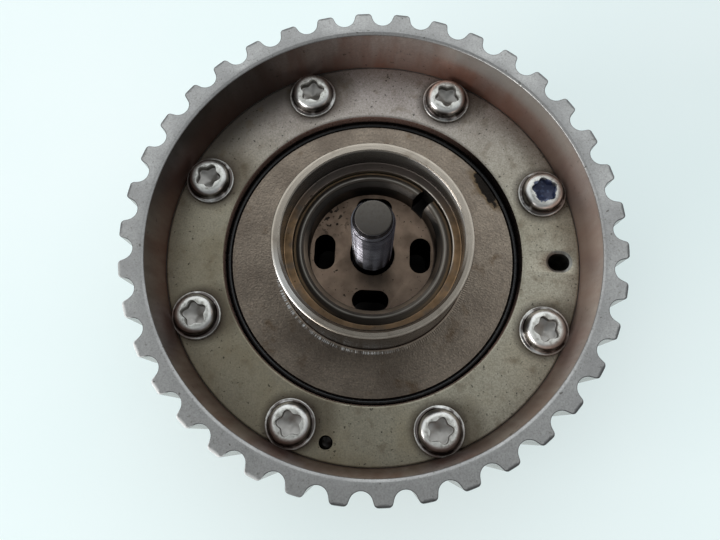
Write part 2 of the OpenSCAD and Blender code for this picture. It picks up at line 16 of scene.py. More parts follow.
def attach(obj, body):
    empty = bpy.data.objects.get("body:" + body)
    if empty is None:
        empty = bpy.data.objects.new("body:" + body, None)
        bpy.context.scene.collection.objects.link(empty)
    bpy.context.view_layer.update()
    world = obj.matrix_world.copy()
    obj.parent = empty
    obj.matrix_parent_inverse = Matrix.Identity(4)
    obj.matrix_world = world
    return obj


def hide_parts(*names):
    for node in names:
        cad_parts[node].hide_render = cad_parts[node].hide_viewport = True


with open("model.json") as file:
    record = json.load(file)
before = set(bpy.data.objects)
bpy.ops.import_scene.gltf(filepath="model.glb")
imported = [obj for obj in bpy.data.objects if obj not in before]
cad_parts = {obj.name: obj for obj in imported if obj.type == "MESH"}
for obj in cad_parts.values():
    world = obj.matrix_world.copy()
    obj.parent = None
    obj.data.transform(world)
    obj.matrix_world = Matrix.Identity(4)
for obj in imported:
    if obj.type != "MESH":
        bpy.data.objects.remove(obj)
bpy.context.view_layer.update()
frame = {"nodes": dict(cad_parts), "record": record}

nodes = frame["nodes"]

# %% [markdown]
# ## Camera
# The picture was taken by hand from above, leaning a little towards the front. The place and the direction
# of the camera were fitted to the circles of the part, so they are written as numbers. The focal length is
# known in pixels of a 720 pixel wide picture, and the sensor width turns it into millimetres of lens.

# %% Photo camera
MM = 0.001
PICTURE_W = 720
FOCAL_PX = 682.15
SENSOR_W = 36
NEAREST = 5
EYE = Vector((0.693, -35.44, 161.93)) * MM
RIGHT = Vector((0.99882, 0.04722, -0.01131))
UP = Vector((-0.04326, 0.97111, 0.23468))
BACK = Vector((0.02206, -0.23392, 0.97201))

camera_data = bpy.data.cameras.new("photo_camera")
camera_data.sensor_width = SENSOR_W
camera_data.lens = FOCAL_PX * SENSOR_W / PICTURE_W
camera_data.clip_start = NEAREST * MM
camera = bpy.data.objects.new("photo_camera", camera_data)
camera.matrix_world = Matrix.Translation(EYE) @ Matrix((RIGHT, UP, BACK)).transposed().to_4x4()
bpy.context.scene.collection.objects.link(camera)
bpy.context.scene.camera = camera
bpy.context.scene.view_settings.view_transform = "Standard"
print("lens", round(camera_data.lens, 2), "mm")

# %% [markdown]
# ## Two small helpers
# Colours are written as on a colour chart, in sRGB, and the shader works in linear light, so one function
# converts them. Every node in this lesson, in a material or in a geometry tree, is added by one other
# function, which takes the node's settings and what goes into its sockets.

# %% Helpers for colours and nodes
def linear(code):
    """Linear colour with alpha from an sRGB hex code such as #a0a0a0."""
    parts = [int(code[i:i + 2], 16) / 255 for i in (1, 3, 5)]
    return [p / 12.92 if p <= 0.04045 else ((p + 0.055) / 1.055) ** 2.4 for p in parts] + [1]


def add(tree, kind, sockets=None, **settings):
    """Adds one node. sockets maps an input to a value or to the output that is linked to it."""
    node = tree.nodes.new(kind)
    for key, value in settings.items():
        setattr(node, key, value)
    for key, value in (sockets or {}).items():
        if isinstance(value, bpy.types.NodeSocket):
            tree.links.new(value, node.inputs[key])
        else:
            node.inputs[key].default_value = value
    return node


print("mid grey is", [round(v, 3) for v in linear("#808080")])

# %% [markdown]
# ## Table and light
# The part lies on a white table, and a plane carries its shadow. The window is one large soft lamp, low at
# the left front. The rest of the room is the world, brightest high at the far side. Bare metal shows mostly
# what it reflects, so the world also has a dim patch overhead, where the camera is held. The table is whiter
# than this light makes it, so a share of plain white is mixed in where the camera or a reflection sees it.
# The light stays low enough for the metal that way, and the table keeps its shadow.

# %% White table
# Half the table in metres, how far it lies below the part in mm, and the size of its mottle in mm
FLOOR_HALF, FLOOR_DROP, MOTTLE_SIZE = 1.6, 0.05, 90
WHITE_SHARE = 0.45
floor_mesh = bpy.data.meshes.new("table")
signs = ((-1, -1), (1, -1), (1, 1), (-1, 1))
corners = [(x * FLOOR_HALF, y * FLOOR_HALF, -FLOOR_DROP * MM) for x, y in signs]
floor_mesh.from_pydata(corners, [], [(0, 1, 2, 3)])
floor = bpy.data.objects.new("table", floor_mesh)
bpy.context.scene.collection.objects.link(floor)

# White laminate: nearly matt, with a faint cool mottle
laminate = bpy.data.materials.new("white_laminate")
laminate.use_nodes = True
tree = laminate.node_tree
shader = tree.nodes["Principled BSDF"]
shader.inputs["Roughness"].default_value = 0.55
where = add(tree, "ShaderNodeTexCoord").outputs["Object"]
cloud = add(tree, "ShaderNodeTexNoise", {"Vector": where, "Scale": 1 / (MOTTLE_SIZE * MM), "Detail": 3})
tint = add(
    tree, "ShaderNodeMix", {0: cloud.outputs[0], 6: linear("#e8f8f7"), 7: linear("#f5fdfc")}, data_type="RGBA"
).outputs[2]
tree.links.new(tint, shader.inputs["Base Color"])
ray = add(tree, "ShaderNodeLightPath").outputs
seen = ray["Is Camera Ray"]
for other in ("Is Glossy Ray", "Is Transmission Ray"):
    seen = add(tree, "ShaderNodeMath", {0: seen, 1: ray[other]}, operation="MAXIMUM").outputs[0]
share = add(tree, "ShaderNodeMath", {0: seen, 1: WHITE_SHARE}, operation="MULTIPLY").outputs[0]
plain = add(tree, "ShaderNodeEmission", {"Color": tint, "Strength": 1.0}).outputs[0]
mixed = add(tree, "ShaderNodeMixShader", {0: share, 1: shader.outputs[0], 2: plain})
tree.links.new(mixed.outputs[0], tree.nodes["Material Output"].inputs["Surface"])
floor_mesh.materials.append(laminate)
print("table half", FLOOR_HALF, "m")

# %% Window and room
# The window in metres and watts, two directions, and strengths of the world
WINDOW_AT, WINDOW_W, WINDOW_H, WINDOW_WATT = (-1.08, -0.66, 0.42), 1.2, 0.5, 16
FAR_SIDE = Vector((-0.1, 0.72, 0.6)).normalized()
OVERHEAD = Vector((-0.06, 0.03, 1)).normalized()
DIM, BRIGHT, PATCH, SEEN_WHITE = 0.3, 1.5, 0.14, 0.92

lamp_data = bpy.data.lights.new("window", "AREA")
lamp_data.shape = "RECTANGLE"
lamp_data.size, lamp_data.size_y = WINDOW_W, WINDOW_H
lamp_data.energy = WINDOW_WATT
lamp = bpy.data.objects.new("window", lamp_data)
lamp.location = WINDOW_AT
lamp.rotation_euler = (-lamp.location).to_track_quat("-Z", "Y").to_euler()
bpy.context.scene.collection.objects.link(lamp)

room = bpy.data.worlds.new("room")
room.use_nodes = True
bpy.context.scene.world = room
tree = room.node_tree
sky = tree.nodes["Background"]
way = add(tree, "ShaderNodeTexCoord").outputs["Generated"]
# Both fades run between two cosines of the angle from their middle
facing = add(tree, "ShaderNodeVectorMath", {0: way, 1: FAR_SIDE}, operation="DOT_PRODUCT")
level = add(
    tree, "ShaderNodeMapRange",
    {"Value": facing.outputs["Value"], "From Min": 0.0, "From Max": 0.95, "To Min": DIM, "To Max": BRIGHT},
)
above = add(tree, "ShaderNodeVectorMath", {0: way, 1: OVERHEAD}, operation="DOT_PRODUCT")
overhead = add(
    tree, "ShaderNodeMapRange",
    {"Value": above.outputs["Value"], "From Min": 0.9, "From Max": 0.985, "To Min": 1.0, "To Max": PATCH},
    interpolation_type="SMOOTHSTEP",
)
dimmed = add(tree, "ShaderNodeMath", {0: level.outputs[0], 1: overhead.outputs[0]}, operation="MULTIPLY")
seen = add(tree, "ShaderNodeLightPath").outputs["Is Camera Ray"]
strength = add(tree, "ShaderNodeMix", {0: seen, 2: dimmed.outputs[0], 3: SEEN_WHITE}).outputs[0]
tree.links.new(strength, sky.inputs["Strength"])
sky.inputs["Color"].default_value = linear("#f4fbff")
print("lamp", lamp_data.energy, "W, bright side", [round(v, 2) for v in FAR_SIDE])

# %% [markdown]
# ## How a metal finish starts and ends
# Every finish here needs the same measures of the point that it colours: where it is, how far it lies from
# the axis, how high, and at which angle. They come from Object coordinates, because every piece sits at the
# origin and its axis is Z. Noise of a given grain size makes blotches, pits and stains, and bands of a
# measure say where they lie. Paint goes on in coats, as on the real part: each coat has a colour and a mask.
# One more function ends a finish, because all of them are linked to their shader in the same way.

# %% Start and end of a finish
def measured(tree, point):
    """The measures of a point in mm: radius, height, angle in radians, and its two sideways places."""
    xyz = add(tree, "ShaderNodeSeparateXYZ", {0: point}).outputs
    flat = add(tree, "ShaderNodeCombineXYZ", {0: xyz[0], 1: xyz[1]}).outputs[0]
    radius = add(tree, "ShaderNodeVectorMath", {0: flat}, operation="LENGTH").outputs["Value"]
    angle = add(tree, "ShaderNodeMath", {0: xyz[1], 1: xyz[0]}, operation="ARCTAN2").outputs[0]
    sideways = {"aside": xyz[0], "forth": xyz[1]}
    return {"point": point, "radius": radius, "height": xyz[2], "angle": angle, **sideways}


def begin(name, metallic, roughness):
    """A new material, its tree, its shader and the measures of the point that it colours."""
    material = bpy.data.materials.new(name)
    material.use_nodes = True
    tree = material.node_tree
    shader = tree.nodes["Principled BSDF"]
    shader.inputs["Metallic"].default_value = metallic
    shader.inputs["Roughness"].default_value = roughness
    where = add(tree, "ShaderNodeTexCoord").outputs["Object"]
    point = add(tree, "ShaderNodeVectorMath", {0: where, "Scale": 1 / MM}, operation="SCALE").outputs[0]
    return material, tree, shader, measured(tree, point)


def product(tree, *factors):
    """Factors multiplied. The product of masks is 1 where all of them are 1."""
    result, *others = factors
    for other in others:
        result = add(tree, "ShaderNodeMath", {0: result, 1: other}, operation="MULTIPLY").outputs[0]
    return result


def fades(tree, spans):
    """Masks by name, each from a measure and the two values of it at which the mask is 0 and 1."""
    made = {}
    for name, (measure, start, end) in spans.items():
        sockets = {"Value": measure, "From Min": start, "From Max": end}
        made[name] = add(tree, "ShaderNodeMapRange", sockets).outputs[0]
    return made


def grain(tree, point, size, low, high, detail=2, seed=0):
    """Noise with grains of that size in mm, stretched so that low gives 0 and high gives 1.

    detail is the number of finer layers in it, and every seed gives another pattern.
    """
    sockets = {"Vector": point, "W": seed, "Scale": 1 / size, "Detail": detail}
    noise = add(tree, "ShaderNodeTexNoise", sockets, noise_dimensions="4D").outputs[0]
    return fades(tree, {"grain": (noise, low, high)})["grain"]


def band(tree, measure, start, end, soft):
    """1 where a measure lies between start and end, falling to 0 over a soft edge."""
    rise = (measure, start - soft, start + soft)
    fall = (measure, end + soft, end - soft)
    return product(tree, *fades(tree, {"rise": rise, "fall": fall}).values())


def sector(tree, at, start, end, soft):
    """1 between two angles round the axis, given in degrees from +X."""
    return band(tree, at["angle"], math.radians(start), math.radians(end), math.radians(soft))


def paint(tree, under, over, mask, amount=1.0):
    """Lays a coat of one colour over another, by that amount where the mask is 1."""
    under, over = [linear(colour) if isinstance(colour, str) else colour for colour in (under, over)]
    share = product(tree, mask, amount)
    return add(tree, "ShaderNodeMix", {0: share, 6: under, 7: over}, data_type="RGBA").outputs[2]


def dress(tree, shader, colour, bumps, depth, rough=None, metallic=None):
    """Ends a finish with its colour and with bumps that are depth mm deep.

    Where roughness or metallic varies, it is given as a mask and the values where the mask is 0 and 1.
    """
    tree.links.new(colour, shader.inputs["Base Color"])
    bump = add(tree, "ShaderNodeBump", {"Strength": 1.0, "Distance": depth * MM, "Height": bumps})
    tree.links.new(bump.outputs[0], shader.inputs["Normal"])
    for name, spread in {"Roughness": rough, "Metallic": metallic}.items():
        if spread:
            mask, low, high = spread
            level = add(tree, "ShaderNodeMapRange", {"Value": mask, "To Min": low, "To Max": high})
            tree.links.new(level.outputs[0], shader.inputs[name])


print("finish helpers ready")

# %% [markdown]
# ## Sintered steel of the toothed rim
# The rim is pressed from steel powder and sintered. That leaves a satin, slightly warm grey with fine pores
# that hold dirt. Real pores are too fine to show, so they are drawn coarser. The belt has worn the edges of
# the teeth, which the mesh carries as an attribute. They are painted dark, and at the tips that face the
# window they carry a painted highlight instead. The belt has also polished the flanks in lines along the
# axis.

# %% Sintered steel
TIP_R, ROOT_R, RECESS_R = 47.693, 44.893, 42.843
RIM_TOP, RING_FACE = 39.7, 29.0
# A radius that nothing reaches, and a stretch that draws a noise out into lines
BEYOND = 60.0
ALONG_AXIS = (1.0, 1.0, 0.1)
sintered, tree, shader, at = begin("sintered_steel", 0.9, 0.4)
blotch = grain(tree, at["point"], 7.0, 0.35, 0.65, 3, 1.0)
pores = grain(tree, at["point"], 0.45, 0.62, 0.74, 2, 2.0)
spots = grain(tree, at["point"], 0.9, 0.7, 0.76, 1, 3.0)
speckle = grain(tree, at["point"], 0.28, 0.3, 0.7, 1, 34.0)
colour = paint(tree, "#b4b2af", "#9e9c9a", blotch)
colour = paint(tree, colour, "#898785", speckle, 0.6)
colour = paint(tree, colour, "#6a675f", pores, 0.55)
colour = paint(tree, colour, "#4a453e", spots, 0.7)
worn = add(tree, "ShaderNodeAttribute", attribute_name="edge").outputs["Fac"]
tipward = band(tree, at["radius"], TIP_R - 1.3, BEYOND, 0.3)
# Painted highlight: edges near the tips that face the window are painted bright instead of dark
painted_tip_highlight = product(tree, sector(tree, at, -172, -108, 10), tipward)
colour = paint(tree, colour, paint(tree, "#2b2a2c", "#d2d1ce", painted_tip_highlight), worn, 0.85)
below_edge = band(tree, at["height"], 0.0, RIM_TOP - 0.7, 0.2)
belt_side = product(tree, below_edge, band(tree, at["radius"], ROOT_R - 1.0, BEYOND, 0.1))
drawn = add(tree, "ShaderNodeVectorMath", {0: at["point"], 1: ALONG_AXIS}, operation="MULTIPLY").outputs[0]
polished = paint(tree, "#b3ada8", "#8b8580", grain(tree, drawn, 1.2, 0.35, 0.68, 3, 45.0))
colour = paint(tree, colour, polished, belt_side, 0.75)
rough = add(tree, "ShaderNodeMapRange", {"Value": blotch, "To Min": 0.34, "To Max": 0.46}).outputs[0]
rough = add(tree, "ShaderNodeMix", {0: belt_side, 2: rough, 3: 0.24}).outputs[0]
tree.links.new(rough, shader.inputs["Roughness"])
bumps = grain(tree, at["point"], 0.4, 0.3, 0.7, 2, 2.0)
dress(tree, shader, colour, bumps, 0.006, metallic=(product(tree, painted_tip_highlight, worn), 0.9, 0.25))
print(sintered.name)

# %% [markdown]
# ## Oil varnish inside the rim
# Hot oil has baked onto the wall of the recess. The same steel shows through a reddish brown skin, painted
# darker towards the foot. Runs down the wall and patches of rust break it up. The sides differ, so angles and
# sideways places pick them: one is nearly black, from oil and painted shade, one is paler above and rust red
# below, the right is lighter as painted light, and the left and the near side are darker as painted shade.

# %% Varnished steel
DOWN_WALL = (1.0, 1.0, 0.22)
varnished, tree, shader, at = begin("varnished_steel", 0.6, 0.4)
stretched = add(tree, "ShaderNodeVectorMath", {0: at["point"], 1: DOWN_WALL}, operation="MULTIPLY").outputs[0]
streak = grain(tree, stretched, 2.2, 0.35, 0.68, 3, 4.0)
rust = grain(tree, stretched, 4.5, 0.45, 0.62, 4, 46.0)
dust = grain(tree, at["point"], 0.4, 0.35, 0.7, 2, 35.0)
drops = grain(tree, at["point"], 1.1, 0.66, 0.74, 2, 5.0)
pale_rusty_side = sector(tree, at, 30, 74, 10)
fade = fades(tree, {
    "deep": (at["height"], RIM_TOP - 1.2, RING_FACE + 0.5),
    "foot": (at["height"], RIM_TOP - 1.7, RING_FACE + 4.0),
    "upper": (at["height"], RING_FACE + 5.8, RING_FACE + 7.4),
    "near": (at["forth"], -8, -34),
    "left": (at["aside"], -22, -38),
    "right": (at["aside"], 22, 40),
})
colour = paint(tree, "#b3a59d", "#7a5d52", fade["deep"], 0.9)
colour = paint(tree, colour, "#84604f", streak, 0.4)
colour = paint(tree, colour, "#7d4226", rust, 0.42)
colour = paint(tree, colour, "#6d625b", dust, 0.35)
colour = paint(tree, colour, "#2a211e", drops, 0.7)
# Nearly black on one side: oil and painted shade
colour = paint(tree, colour, "#1e1917", sector(tree, at, 109, 168, 16), 0.8)
# Painted shade on the left, painted light on the right, and painted shade at the foot of the right side
colour = paint(tree, colour, paint(tree, "#322f2c", "#55392f", fade["foot"]), fade["left"], 0.62)
colour = paint(tree, colour, "#cdbfb5", fade["right"], 0.35)
colour = paint(tree, colour, "#5f3d2e", product(tree, fade["right"], fade["foot"]), 0.4)
# Paler above and rust red below on one side
colour = paint(tree, colour, "#a3a29c", product(tree, pale_rusty_side, fade["upper"]), 0.6)
colour = paint(tree, colour, "#70402c", product(tree, pale_rusty_side, fade["foot"]), 0.35)
# Painted shade on the near side, deepest at the foot
colour = paint(tree, colour, "#45291c", fade["near"], 0.36)
colour = paint(tree, colour, "#3c2a23", product(tree, fade["near"], fade["foot"]), 0.7)
dress(tree, shader, colour, streak, 0.015, rough=(streak, 0.36, 0.5))
print(varnished.name)

# %% [markdown]
# ## Phosphated clamp ring
# Phosphate gives the ring a dull olive grey with fine dark pits. Oil has left brown patches. Round every
# screw lies a dark halo, partly oil and partly painted shade, and beside it lies a painted shadow. The halos
# need no
# eight copies: the angle is folded, so that all screws fall on one, and the distance from the axis of that
# one screw makes the mask. For the painted shadow, the same distance is taken from a point that is shifted a
# little.

# %% Phosphated steel
SCREWS = 8
SCREW_CIRCLE = 36.963
FLANGE_R = 4.85
SHADOW_SHIFT = (3.6, 1.0, 0.0)
TOWARDS_WINDOW = (-0.85, -0.5, 0.0)


def screw_distance(tree, at):
    """Distance in mm from the axis of the nearest cover screw."""
    per_turn = SCREWS / (2 * math.pi)
    turns = add(tree, "ShaderNodeMath", {0: at["angle"], 1: per_turn}, operation="MULTIPLY").outputs[0]
    folded = add(tree, "ShaderNodeMath", {0: turns}, operation="FRACT").outputs[0]
    half = math.pi / SCREWS
    swing = add(tree, "ShaderNodeMapRange", {"Value": folded, "To Min": -half, "To Max": half}).outputs[0]
    side = add(tree, "ShaderNodeMath", {0: at["radius"], 1: swing}, operation="MULTIPLY").outputs[0]
    out = add(tree, "ShaderNodeMath", {0: at["radius"], 1: SCREW_CIRCLE}, operation="SUBTRACT").outputs[0]
    flat = add(tree, "ShaderNodeCombineXYZ", {0: out, 1: side}).outputs[0]
    return add(tree, "ShaderNodeVectorMath", {0: flat}, operation="LENGTH").outputs["Value"]


phosphated, tree, shader, at = begin("phosphated_steel", 0.85, 0.46)
patch = grain(tree, at["point"], 9.0, 0.42, 0.68, 3, 6.0)
brown = grain(tree, at["point"], 2.4, 0.56, 0.74, 5, 9.0)
speckle = grain(tree, at["point"], 0.3, 0.3, 0.7, 1, 36.0)
pits = grain(tree, at["point"], 0.4, 0.62, 0.74, 1, 7.0)
specks = grain(tree, at["point"], 0.55, 0.69, 0.73, 1, 8.0)
moved = add(tree, "ShaderNodeVectorMath", {0: at["point"], 1: SHADOW_SHIFT}, operation="SUBTRACT").outputs[0]
slant = add(tree, "ShaderNodeVectorMath", {0: at["point"], 1: TOWARDS_WINDOW}, operation="DOT_PRODUCT")
fade = fades(tree, {
    "halo": (screw_distance(tree, at), FLANGE_R + 1.5, FLANGE_R),
    "stain_and_shadow": (screw_distance(tree, measured(tree, moved)), FLANGE_R + 1.6, FLANGE_R - 1.2),
    "window_side_shade": (slant.outputs["Value"], 4, 34),
    "back": (at["forth"], 8, 34),
    "right": (at["aside"], 8, 34),
    "outward": (at["radius"], 34, 40),
})
colour = paint(tree, "#aaa391", "#91866f", patch)
# Painted light and shade on the flat ring: lighter and pinker at the back, partly a painted reflection,
# darker towards the window, where the rim wall shades it, and lighter on the right
colour = paint(tree, colour, "#b3a8a6", fade["back"], 0.8)
colour = paint(tree, colour, "#7b705c", fade["window_side_shade"], 0.6)
colour = paint(tree, colour, "#c2baaa", fade["right"], 0.4)
colour = paint(tree, colour, "#3a332d", product(tree, sector(tree, at, 106, 158, 14), fade["outward"]), 0.7)
colour = paint(tree, colour, "#6b5a45", brown, 0.6)
colour = paint(tree, colour, "#6f6a5c", speckle, 0.5)
colour = paint(tree, colour, "#544d41", pits, 0.45)
colour = paint(tree, colour, "#2a2520", specks, 0.75)
# A painted shadow beside every screw, and round it a dark halo, partly oil and partly painted shade
colour = paint(tree, colour, "#453828", fade["stain_and_shadow"], 0.55)
colour = paint(tree, colour, "#3a3028", fade["halo"], 0.75)
bumps = grain(tree, at["point"], 0.5, 0.3, 0.7, 2, 7.0)
dress(tree, shader, colour, bumps, 0.01, rough=(patch, 0.38, 0.52))
print(phosphated.name)

# %% [markdown]
# ## Zinc-plated screws and plug
# Bright zinc is a clear silvery mirror with light handling marks. Old oil has browned it in the hollow above
# the flange, so the brown is laid on by the distance from the screw's axis and broken up by a noise. The
# crown and parts of the flange are rubbed matt. The recesses are painted a darker grey, and one of them holds
# a dab of dark blue inspection paint. The plug underneath has the same plate, and its socket is painted dark
# as shade.

# %% Zinc plate
HEAD_FOOT = 29.0
RECESS_POINT_R = 2.6
PLUG_SOCKET, PLUG_TOP = 1.2, 9.0
PAINTED = Vector((math.cos(math.pi / SCREWS), math.sin(math.pi / SCREWS), 0)) * SCREW_CIRCLE
PAINTED.z = HEAD_FOOT + 1.5
zinc, tree, shader, at = begin("zinc_plate", 1.0, 0.3)
marks = grain(tree, at["point"], 1.6, 0.4, 0.7, 2, 11.0)
tarnish = grain(tree, at["point"], 2.6, 0.3, 0.5, 3, 10.0)
scratched = grain(tree, at["point"], 0.6, 0.45, 0.7, 3, 40.0)
from_axis = screw_distance(tree, at)
fade = fades(tree, {
    "low": (at["height"], HEAD_FOOT + 2.8, HEAD_FOOT + 2.2),
    "crown": (at["height"], HEAD_FOOT + 2.2, HEAD_FOOT + 2.5),
})
colour = paint(tree, "#dad8d4", "#c2bfba", marks)
hollow = band(tree, from_axis, 3.85, FLANGE_R - 0.2, 0.12)
colour = paint(tree, colour, "#2c1c16", product(tree, hollow, tarnish), 0.9)
# The recesses are painted a darker grey
recess_grey = product(tree, fade["low"], band(tree, from_axis, -1.0, RECESS_POINT_R + 0.05, 0.05))
colour = paint(tree, colour, "#76706a", recess_grey, 0.7)
# The plug's socket is painted dark as shade
colour = paint(tree, colour, "#2f2b27", band(tree, at["height"], PLUG_SOCKET, PLUG_TOP, 0.4), 0.85)
top = product(tree, fade["crown"], band(tree, from_axis, 1.0, 3.1, 0.25))
brim = band(tree, from_axis, FLANGE_R - 0.2, FLANGE_R + 1.15, 0.05)
rubbed_and_highlight = product(tree, brim, grain(tree, at["point"], 3.0, 0.4, 0.6, 1, 44.0))
matt = add(tree, "ShaderNodeMath", {0: top, 1: rubbed_and_highlight}, operation="MAXIMUM").outputs[0]
colour = paint(tree, colour, paint(tree, "#d9d7d0", "#a09c94", scratched), matt)
# The dab of paint is a ball round the middle of one recess, with a frayed edge
gap = add(tree, "ShaderNodeVectorMath", {0: at["point"], 1: PAINTED}, operation="DISTANCE").outputs["Value"]
fray = {0: grain(tree, at["point"], 0.9, 0.3, 0.7, 3, 41.0), 1: 0.9, 2: gap}
frayed = add(tree, "ShaderNodeMath", fray, operation="MULTIPLY_ADD").outputs[0]
dab = band(tree, frayed, -1.0, RECESS_POINT_R + 0.55, 0.08)
blue = paint(tree, "#1c2a52", "#4a5a80", grain(tree, at["point"], 0.8, 0.52, 0.66, 2, 37.0))
colour = paint(tree, colour, blue, dab, 0.92)
dull = add(tree, "ShaderNodeMath", {0: product(tree, matt, 0.55), 1: dab}, operation="MAXIMUM").outputs[0]
bumps = grain(tree, at["point"], 0.7, 0.3, 0.7, 1, 12.0)
dress(tree, shader, colour, bumps, 0.002, rough=(recess_grey, 0.3, 0.42), metallic=(dull, 1.0, 0.15))
print(zinc.name)

# %% [markdown]
# ## Finishes of the rear cover
# One turned piece has three looks. Its disc is blasted and stained brown, with a black smear of oil on one
# side. At the collar's foot, where the tool chattered, painted highlights make bright ticks on the side that
# faces the window. The collar is ground bright, because a shaft seal runs on it: fine lines run round it, so
# their noise is laid over radius, height and angle. Its bore is painted dark as shade, darkest deep down,
# with a painted highlight on its edge where it faces the window. Its outer wall is painted darker towards the
# foot as shade, its top has a painted highlight on the window side, and the near side of the bore's edge is
# painted dark brown. The step in the bore is amber with baked oil, with a painted highlight on its inner edge
# where it faces the window, and its near side is painted darker.

# %% Blasted disc
SMEAR_R, SMEAR_ANGLE = 28.0, math.radians(34)
SMEAR_ALONG, SMEAR_ACROSS, RAGGED_SIZE, RAGGED = 0.22, 0.75, 1.4, 0.9
COLLAR_R, COLLAR_TOP, BORE_R, STEP_Z = 19.0, 40.75, 17.2, 35.1
blasted, tree, shader, at = begin("blasted_steel", 0.9, 0.28)
fine = grain(tree, at["point"], 0.32, 0.3, 0.72, 2, 13.0)
broad = grain(tree, at["point"], 8.0, 0.35, 0.68, 3, 14.0)
spots = grain(tree, at["point"], 3.2, 0.58, 0.72, 3, 15.0)
outward = add(tree, "ShaderNodeCombineXYZ", {0: at["radius"]}).outputs[0]
turned = grain(tree, outward, 0.3, 0.35, 0.7, 2, 31.0)
colour = paint(tree, "#9f9080", "#7c6e61", broad)
colour = paint(tree, colour, "#4e4842", fine, 0.55)
colour = paint(tree, colour, "#5b4630", spots, 0.65)
colour = paint(tree, colour, "#5d554d", turned, 0.25)
# Painted highlights: bright ticks at the collar's foot on the side that faces the window
foot = band(tree, at["radius"], COLLAR_R + 0.5, COLLAR_R + 1.0, 0.15)
swing = add(tree, "ShaderNodeCombineXYZ", {0: at["angle"]}).outputs[0]
ticks = grain(tree, swing, 0.013, 0.48, 0.58, 3, 42.0)
painted_glints = product(tree, foot, ticks, sector(tree, at, -168, -78, 14))
colour = paint(tree, colour, "#f2f1ee", painted_glints, 0.9)
# The smear is a long oval along its radius, and a noise shakes its edge
across = add(tree, "ShaderNodeMath", {0: at["angle"], 1: SMEAR_ANGLE}, operation="SUBTRACT").outputs[0]
inward = add(tree, "ShaderNodeMath", {0: at["radius"], 1: SMEAR_R}, operation="SUBTRACT").outputs[0]
oval = {0: product(tree, across, SMEAR_R, SMEAR_ALONG), 1: product(tree, inward, SMEAR_ACROSS)}
spread = add(tree, "ShaderNodeCombineXYZ", oval).outputs[0]
noise = add(tree, "ShaderNodeTexNoise", {"Vector": at["point"], "Scale": 1 / RAGGED_SIZE, "Detail": 4})
shake = {0: noise.outputs["Color"], 1: (RAGGED, RAGGED, 0.0), 2: spread}
shaken = add(tree, "ShaderNodeVectorMath", shake, operation="MULTIPLY_ADD").outputs[0]
middle = (RAGGED / 2, RAGGED / 2, 0.0)
reach = add(tree, "ShaderNodeVectorMath", {0: shaken, 1: middle}, operation="DISTANCE").outputs["Value"]
fade = fades(tree, {"stain_and_shadow": (reach, 1.45, 1.0), "smear": (reach, 0.95, 0.8)})
colour = paint(tree, colour, "#5c4a33", fade["stain_and_shadow"], 0.75)
colour = paint(tree, colour, "#14110f", fade["smear"], 0.97)
dress(tree, shader, colour, fine, 0.02, rough=(fade["smear"], 0.28, 0.2), metallic=(painted_glints, 0.9, 0.25))
print(blasted.name)

# %% Ground collar
# Grinding lines are too fine to show, so they are drawn 0.12 mm wide
ground, tree, shader, at = begin("ground_steel", 1.0, 0.26)
lines = {0: at["radius"], 1: at["height"], 2: at["angle"]}
fine = grain(tree, add(tree, "ShaderNodeCombineXYZ", lines).outputs[0], 0.12, 0.3, 0.7, 2, 16.0)
blotch = grain(tree, at["point"], 3.0, 0.58, 0.76, 3, 17.0)
fade = fades(tree, {
    "deep": (at["height"], COLLAR_TOP, STEP_Z + 1.5),
    "down": (at["height"], COLLAR_TOP - 1, RING_FACE + 3.0),
    "near": (at["forth"], 0, -6),
})
fade |= fades(tree, {"shallow": (fade["deep"], 0.6, 0.1)})
colour = paint(tree, "#b0a598", "#8b8277", fine, 0.6)
colour = paint(tree, colour, "#6a5c4e", blotch, 0.5)
# The bore is painted dark as shade, deepest below, with a painted highlight on its edge where it faces the
# window
in_bore = band(tree, at["radius"], 0.0, BORE_R + 0.06, 0.04)
bore = paint(tree, "#5a5854", "#171615", fade["deep"])
bore = paint(tree, bore, "#e6e3de", product(tree, sector(tree, at, 12, 58, 14), fade["shallow"]), 0.9)
colour = paint(tree, colour, bore, in_bore, 0.95)
# Painted shade: the outer wall darker towards its foot
on_wall = band(tree, at["radius"], COLLAR_R - 0.05, COLLAR_R + 1.0, 0.03)
colour = paint(tree, colour, paint(tree, "#625d5b", "#332f31", fade["down"]), on_wall, 0.85)
# A painted highlight on the top, on the side that faces the window
on_top = band(tree, at["height"], COLLAR_TOP - 0.5, COLLAR_TOP + 1.0, 0.1)
colour = paint(tree, colour, "#f0ede8", product(tree, sector(tree, at, -164, -130, 10), on_top), 0.75)
# The near side of the bore's edge is painted dark brown
bore_edge = band(tree, at["radius"], BORE_R + 0.02, BORE_R + 0.56, 0.05)
colour = paint(tree, colour, "#43362b", product(tree, bore_edge, fade["near"]), 0.9)
dress(tree, shader, colour, fine, 0.002, rough=(fine, 0.24, 0.32), metallic=(in_bore, 1.0, 0.6))
print(ground.name)

# %% Amber step
JOURNAL_R = 15.48
amber, tree, shader, at = begin("oil_varnish", 0.75, 0.34)
mottle = grain(tree, at["point"], 2.0, 0.35, 0.68, 3, 18.0)
grey = grain(tree, at["point"], 3.2, 0.5, 0.66, 3, 38.0)
specks = grain(tree, at["point"], 0.8, 0.68, 0.75, 1, 19.0)
fade = fades(tree, {"back": (at["forth"], 4, 12), "near": (at["forth"], -9, -14)})
colour = paint(tree, "#967859", "#70583e", mottle)
colour = paint(tree, colour, "#6d625b", fade["back"])
colour = paint(tree, colour, "#625a52", grey, 0.8)
colour = paint(tree, colour, "#2c241c", specks, 0.8)
# A painted highlight on the inner edge where it faces the window
inner_edge = band(tree, at["radius"], JOURNAL_R - 0.18, JOURNAL_R + 0.24, 0.08)
colour = paint(tree, colour, "#e2d8ca", product(tree, inner_edge, sector(tree, at, -8, 60, 12)), 0.85)
# The near side is painted darker
colour = paint(tree, colour, "#41352a", fade["near"], 0.45)
dress(tree, shader, colour, mottle, 0.01)
print(amber.name)
